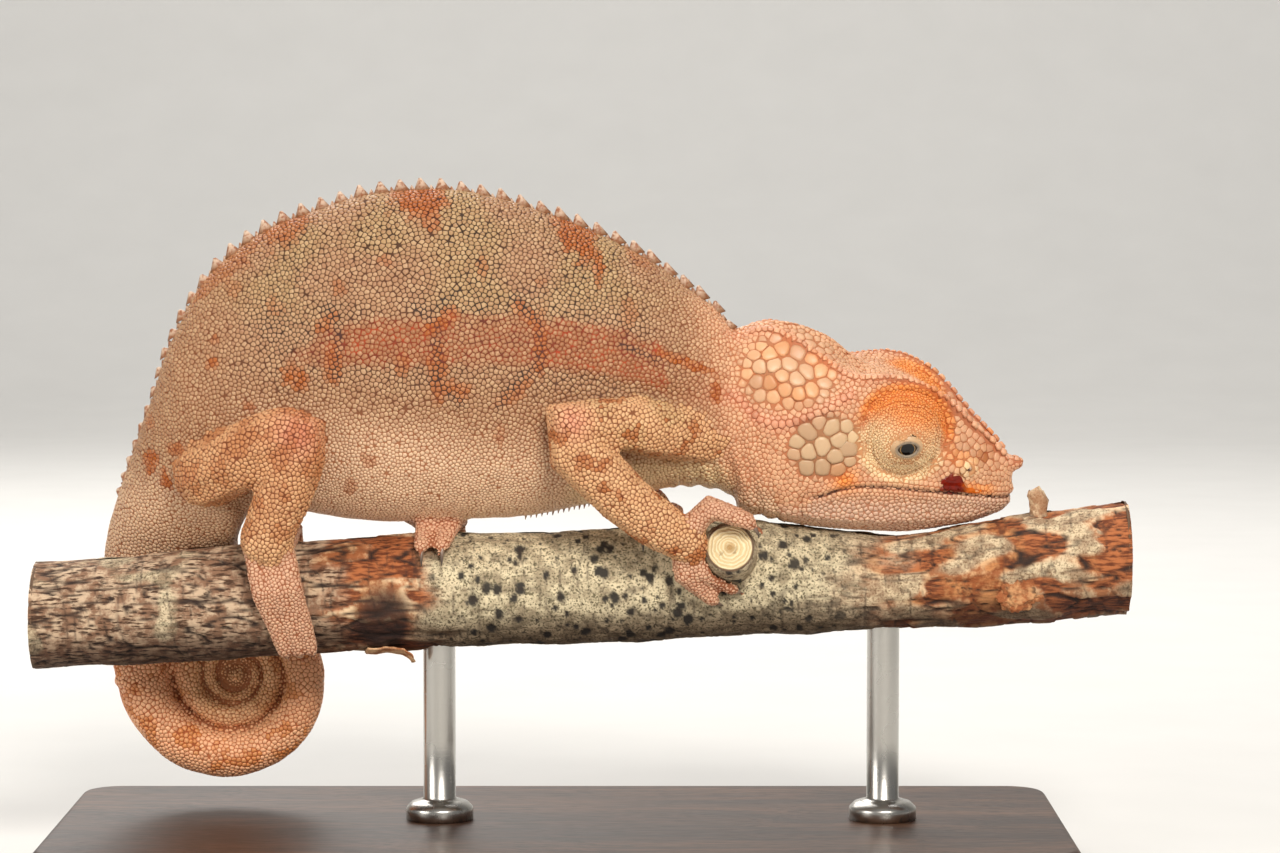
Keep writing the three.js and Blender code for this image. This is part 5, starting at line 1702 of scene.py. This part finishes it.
# painted shade over the underside of the branch
colour = add(tree, "Mix", MULTIPLIED, 2, s0=patches["under"], s6=colour, s7="#5b3a28")
rough = add(tree, "MapRange", s0=grit, s3=0.72, s4=0.95)
both = add(tree, "Math", {"operation": "ADD"}, s0=fibres, s1=grit)
bump_node = add(tree, "Bump", Strength=0.6, Distance=0.00022, Height=both)
shader = add(tree, "BsdfPrincipled", Base_Color=colour, Roughness=rough, IOR=1.45, Normal=bump_node)
add(tree, "OutputMaterial", Surface=shader)
finish("branch_bark", bark_mesh, bark_finish, "bark", "perch")

# %% [markdown]
# ## Sawn ends
# A cut face shows the year rings of a slow wood, cream and matt, with a brown pith and a dark
# line where the bark begins. Its outline is spun round the branch's axis and dips a little, as a
# face does that has dried and shrunk.

# %% Cut wood
# sawn across the grain and weathered: matt, cream, with rings about half a millimetre apart,
# drawn wider on the branch's ends so that they show
cut_wood, tree = new_material("weathered_cut_wood")
where = add(tree, "TexCoord", {}, "Object")
spin_out = add(tree, "Attribute", {"attribute_name": "rings"}, 2)
wobble = add(tree, "TexNoise", Vector=where, Scale=500.0, Detail=3.0)
wavy = add(tree, "Math", {"operation": "MULTIPLY"}, s0=wobble, s1=16.0)
ringed = add(tree, "Math", {"operation": "MULTIPLY_ADD"}, s0=spin_out, s1=46.0, s2=wavy)
wave = add(tree, "Math", {"operation": "SINE"}, s0=ringed)
colour = "#e0c694"
# year rings, pith, inner bark and small checks, each with the levels it runs between
for part, low, high, over in ((wave, -0.6, 0.9, "#f0dfb6"), (spin_out, 0.3, 0.05, "#b89462"),
                              (spin_out, 0.84, 0.9, "#6d5440"), (wobble, 0.6, 0.74, "#8d6c48")):
    share = add(tree, "MapRange", SOFT, s0=part, s1=low, s2=high)
    colour = add(tree, "Mix", MIXED, 2, s0=share, s6=colour, s7=over)
bump_node = add(tree, "Bump", Strength=0.5, Distance=0.0002, Height=wave)
shader = add(tree, "BsdfPrincipled", Base_Color=colour, Roughness=0.8, IOR=1.45, Normal=bump_node)
add(tree, "OutputMaterial", Surface=shader)

# %% The branch's cut ends
# [share of the branch's radius, how far the face lies inside the very end]
FACE = [(1.0, 0.5), (0.985, 0.1), (0.9, 0.05), (0.87, 0.35), (0.6, 0.25), (0.3, 0.2), (0.1, 0.3), (0.0, 0.3)]
ends = bmesh.new()
for end_x, outwards in zip(ENDS, (-1, 1)):
    heart, thick = PERCH(np.array(float(end_x)))
    profile = [(end_x - outwards * sink, 0, heart + (thick - 0.12) * share) for share, sink in FACE]
    absorb(ends, spun(profile, 150, (end_x, 0, heart), (1, 0, 0)))
end_mesh = to_mesh(ends)
at = read(end_mesh)
out_from = np.hypot(at[:, 1], at[:, 2] - PERCH(at[:, 0])[:, 0]) / PERCH(at[:, 0])[:, 1]
colour_by(end_mesh, {"rings": out_from})
finish("branch_cut_ends", end_mesh, cut_wood, "bark")

# %% [markdown]
# ## What grew on the branch
# A side twig is cut off beside the front foot, a dead bud stands behind the snout, a crust of old
# growth sits below it and a flake of bark curls away near the hind foot. The twig is a rolled
# grid like the branch, the bud a cone cut into rings and pushed about, and the crust a ball.

# %% The side twig
STUB_FROM, STUB_TO = np.array([24.9, -2.0, 46.2]), np.array([24.9, -13.2, 49.9])
STUB_RADIUS = 3.9
stub, s, turn = rolled_grid(60, 90)
axis = STUB_TO - STUB_FROM
ways = np.cross(unit(axis), [1, 0, 0]), np.array([1.0, 0, 0])
spine = STUB_FROM + s[:, None] * axis
radial = np.cos(turn)[:, None] * ways[0] + np.sin(turn)[:, None] * ways[1]
surface = spine + radial * 4
rough_bark = field(surface, 1.4, 23.0) * 0.16 + field(surface, 0.6, 29.0) * 0.08
lip_in = np.clip((s - 0.93) / 0.07, 0, 1)
radius = STUB_RADIUS + 1.0 * (1 - s) ** 2 + rough_bark - 0.45 * lip_in ** 2
put(stub, spine + radial * radius[:, None])
stub_mesh = marked_tube(stub, lichen=0.75, step=0.5, crack=lip_in * 0.4,
                        dots=soft(field(surface, 1.3, 37.0), 0.28, 0.42))
finish("twig_bark", stub_mesh, bark_finish, "bark")

# %% The twig's cut face
# [radius, height above the twig's end]
TWIG_FACE = [(0, 0.02), (0.5, 0.12), (1.2, 0.05), (2.2, 0.02), (3.0, 0.0), (3.15, -0.05), (3.3, 0.05),
             (3.5, 0.0), (3.6, -0.5)]
face = spun([(radius, 0, height) for radius, height in TWIG_FACE], 72)
turned = Vector(axis).to_track_quat("Z", "Y").to_matrix()
radii = np.array([math.hypot(v.co.x, v.co.y) for v in face.verts]) / TWIG_FACE[-1][0]
for vertex in face.verts:
    vertex.co.z += 0.10 * noise.noise(vertex.co * 0.9)
    vertex.co = turned @ vertex.co + Vector(STUB_TO)
face_mesh = to_mesh(face)
colour_by(face_mesh, {"rings": radii * 0.97})
finish("twig_cut_face", face_mesh, cut_wood, "bark")

# %% The dead bud and the crust
BUD_HEIGHT = 7.4
extras = bmesh.new()
bmesh.ops.create_cone(extras, cap_ends=True, segments=18, radius1=2.9, radius2=1.15, depth=BUD_HEIGHT)
tall_edges = {e for v in extras.verts for e in v.link_edges if abs(e.verts[0].co.z - e.verts[1].co.z) > 1}
bmesh.ops.subdivide_edges(extras, edges=list(tall_edges), cuts=8)
for vertex in extras.verts:
    s = vertex.co.z / BUD_HEIGHT + 0.5
    swell = 1 + 0.22 * math.sin(s * 9) + 0.3 * noise.noise(vertex.co * 0.8)
    ragged = 1.2 * max(0, s - 0.7) * noise.noise(Vector((vertex.co.x * 1.1, vertex.co.y * 1.1, 3)))
    vertex.co = Vector((71.4 + vertex.co.x * swell * 0.85 - 0.9 * s * s, -0.5 + vertex.co.y * swell * 0.85,
                        53.6 + vertex.co.z + 3 * ragged))
scab = bmesh.ops.create_icosphere(extras, subdivisions=5, radius=1)["verts"]
for vertex in scab:
    rough_out = 1 + 0.35 * noise.noise(vertex.co * 2.2) + 0.18 * noise.noise(vertex.co * 6)
    at = Vector((vertex.co.x * 3.2, vertex.co.y * 1.5, vertex.co.z * 2.6)) * rough_out
    vertex.co = Vector(around_perch(67.5, 112, -0.5)) + at
extra_mesh = to_mesh(extras)
at = read(extra_mesh)
on_bud = (at[:, 2] > 49) * 1.0
mark_bark(extra_mesh, lichen=on_bud * 0.3, peel=1 - 0.3 * on_bud, step=0.4 + 0.6 * on_bud,
          crack=soft(field(at, 0.9, 41.0), 0.3, 0.5) * 0.7, amber=1 - on_bud)
finish("dead_bud_and_crust", extra_mesh, bark_finish, "bark")

# %% A flake of loose bark
flake = bmesh.new()
bmesh.ops.create_grid(flake, x_segments=36, y_segments=14, size=1)
for vertex in flake.verts:
    u, v = vertex.co.x, vertex.co.y
    jag = 1 + 0.25 * noise.noise(Vector((u * 3, v * 3, 1)))
    curl = 0.35 + 1.5 * max(0, u) ** 2 + 0.1 * math.sin(7 * u)
    vertex.co = around_perch(-25 + 3.4 * u * jag, 158 + 9 * v * jag, curl)
bmesh.ops.solidify(flake, geom=flake.faces[:], thickness=0.25)
flake_mesh = to_mesh(flake)
mark_bark(flake_mesh, peel=1, step=1, amber=0.7)
finish("loose_bark", flake_mesh, bark_finish, "bark")

# %% [markdown]
# ## The stand
# The stand is kept plain: a small board of oiled walnut with eased edges and two turned steel
# rods that hold the branch. The board is a box whose corners and then rims are bevelled. Each
# rod's outline is spun round its axis, as it would be on a lathe.

# %% Oiled walnut
# planed and oiled: dark brown, with streaks along the board, open pores and a low sheen
walnut, tree = new_material("oiled_walnut")
where = add(tree, "TexCoord", {}, "Object")
drift = add(tree, "TexNoise", Vector=where, Scale=22.0, Detail=2.0)
bent = add(tree, "VectorMath", {"operation": "MULTIPLY_ADD"}, s0=drift, s1=(0.02, 0.012, 0.01), s2=where)
long_way = add(tree, "Mapping", Vector=bent, Scale=(0.07, 1, 1))
# growth rings a millimetre or two apart, and pores a fifth of a millimetre wide
rings = add(tree, "TexNoise", Vector=long_way, Scale=620.0, Detail=3.0, Roughness=0.6)
broad = add(tree, "TexNoise", Vector=long_way, Scale=90.0, Detail=2.0)
pores = add(tree, "TexNoise", Vector=long_way, Scale=3600.0, Detail=2.0)
colour = "#3b2416"
for part, low, high, way, over in ((rings, 0.35, 0.65, MIXED, "#60402a"),
                                   (broad, 0.65, 0.35, MULTIPLIED, "#b29a88"),
                                   (pores, 0.44, 0.34, MIXED, "#1f120b")):
    share = add(tree, "MapRange", SOFT, s0=part, s1=low, s2=high)
    colour = add(tree, "Mix", way, 2, s0=share, s6=colour, s7=over)
sheen = add(tree, "MapRange", s0=pores, s3=0.55, s4=0.34)
bump_node = add(tree, "Bump", Strength=0.3, Distance=0.00008, Height=pores)
shader = add(tree, "BsdfPrincipled", Base_Color=colour, Roughness=sheen, IOR=1.5, Normal=bump_node,
             Coat_Weight=0.15, Coat_Roughness=0.3)
add(tree, "OutputMaterial", Surface=shader)

# %% The board
BOARD = (150, 64, 8)
board = bmesh.new()
bmesh.ops.create_cube(board, size=1)
bmesh.ops.scale(board, vec=BOARD, verts=board.verts)
bmesh.ops.translate(board, vec=(0, 0, BOARD[2] / 2), verts=board.verts)
# the upright corners are rounded first, then the rims above and below
upright = [e for e in board.edges if abs(e.verts[0].co.z - e.verts[1].co.z) > 1]
bmesh.ops.bevel(board, geom=upright, offset=6, offset_type="OFFSET", affect="EDGES", segments=14,
                profile=0.5, material=-1)
rims = [e for e in board.edges if abs(e.verts[0].co.z - e.verts[1].co.z) < 1e-4
        and len({round(f.normal.z) for f in e.link_faces}) > 1]
bmesh.ops.bevel(board, geom=rims, offset=1.2, offset_type="OFFSET", affect="EDGES", segments=5,
                profile=0.5, material=-1)
thing = finish("walnut_board", to_mesh(board), walnut, "base_wood", "stand_base")
for face in thing.data.polygons:
    face.use_smooth = abs(face.normal.z) < 0.999

# %% Turned steel
# stainless bar straight from the lathe: bright, with fine rings round it and a few finger smudges
steel, tree = new_material("turned_stainless_steel")
where = add(tree, "TexCoord", {}, "Object")
# tool marks run round the rod, a fifth of a millimetre apart, drawn at a third to show
flat = add(tree, "Mapping", Vector=where, Scale=(0.05, 0.05, 1))
marks_left = add(tree, "TexNoise", Vector=flat, Scale=3000.0, Detail=2.0)
smudge = add(tree, "TexNoise", Vector=where, Scale=180.0, Detail=3.0)
dull = add(tree, "MapRange", s0=smudge, s3=0.2, s4=0.34)
bump_node = add(tree, "Bump", Strength=0.2, Distance=0.00003, Height=marks_left)
colour = add(tree, "Mix", MIXED, 2, s0=smudge, s6="#bdbab4", s7="#cfccc6")
shader = add(tree, "BsdfPrincipled", Base_Color=colour, Metallic=1.0, Roughness=dull, Normal=bump_node)
add(tree, "OutputMaterial", Surface=shader)

# %% The rods
for end, x in (("front", 48.0), ("rear", -18.0)):
    top = float(PERCH(np.array(x))[0]) - 5.5
    # [radius, height]: a collar that stands on the board, then the plain bar
    outline = [(0, 8.02), (5, 8.02), (5, 9.7), (4.9, 9.9), (4.2, 10.6), (3.4, 10.85), (2.7, 10.95),
               (2.4, 11.3), (2.4, 20), (2.4, top - 1), (2.4, top), (0, top)]
    rod = spun([(radius, 0, height) for radius, height in outline], 64)
    bmesh.ops.translate(rod, verts=rod.verts, vec=(x, 0, 0))
    finish(f"steel_rod_{end}", to_mesh(rod), steel, "rod_steel", f"stand_rod_{end}")

# %% [markdown]
# ## Sizes
# The box of the looks is printed next to the box of the solids.

# %% Write the sizes
visual_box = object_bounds()
for name, box in (("solids", cad_box), ("looks", visual_box)):
    print(name, "from", [round(v / MM, 1) for v in box[0]], "to", [round(v / MM, 1) for v in box[1]])
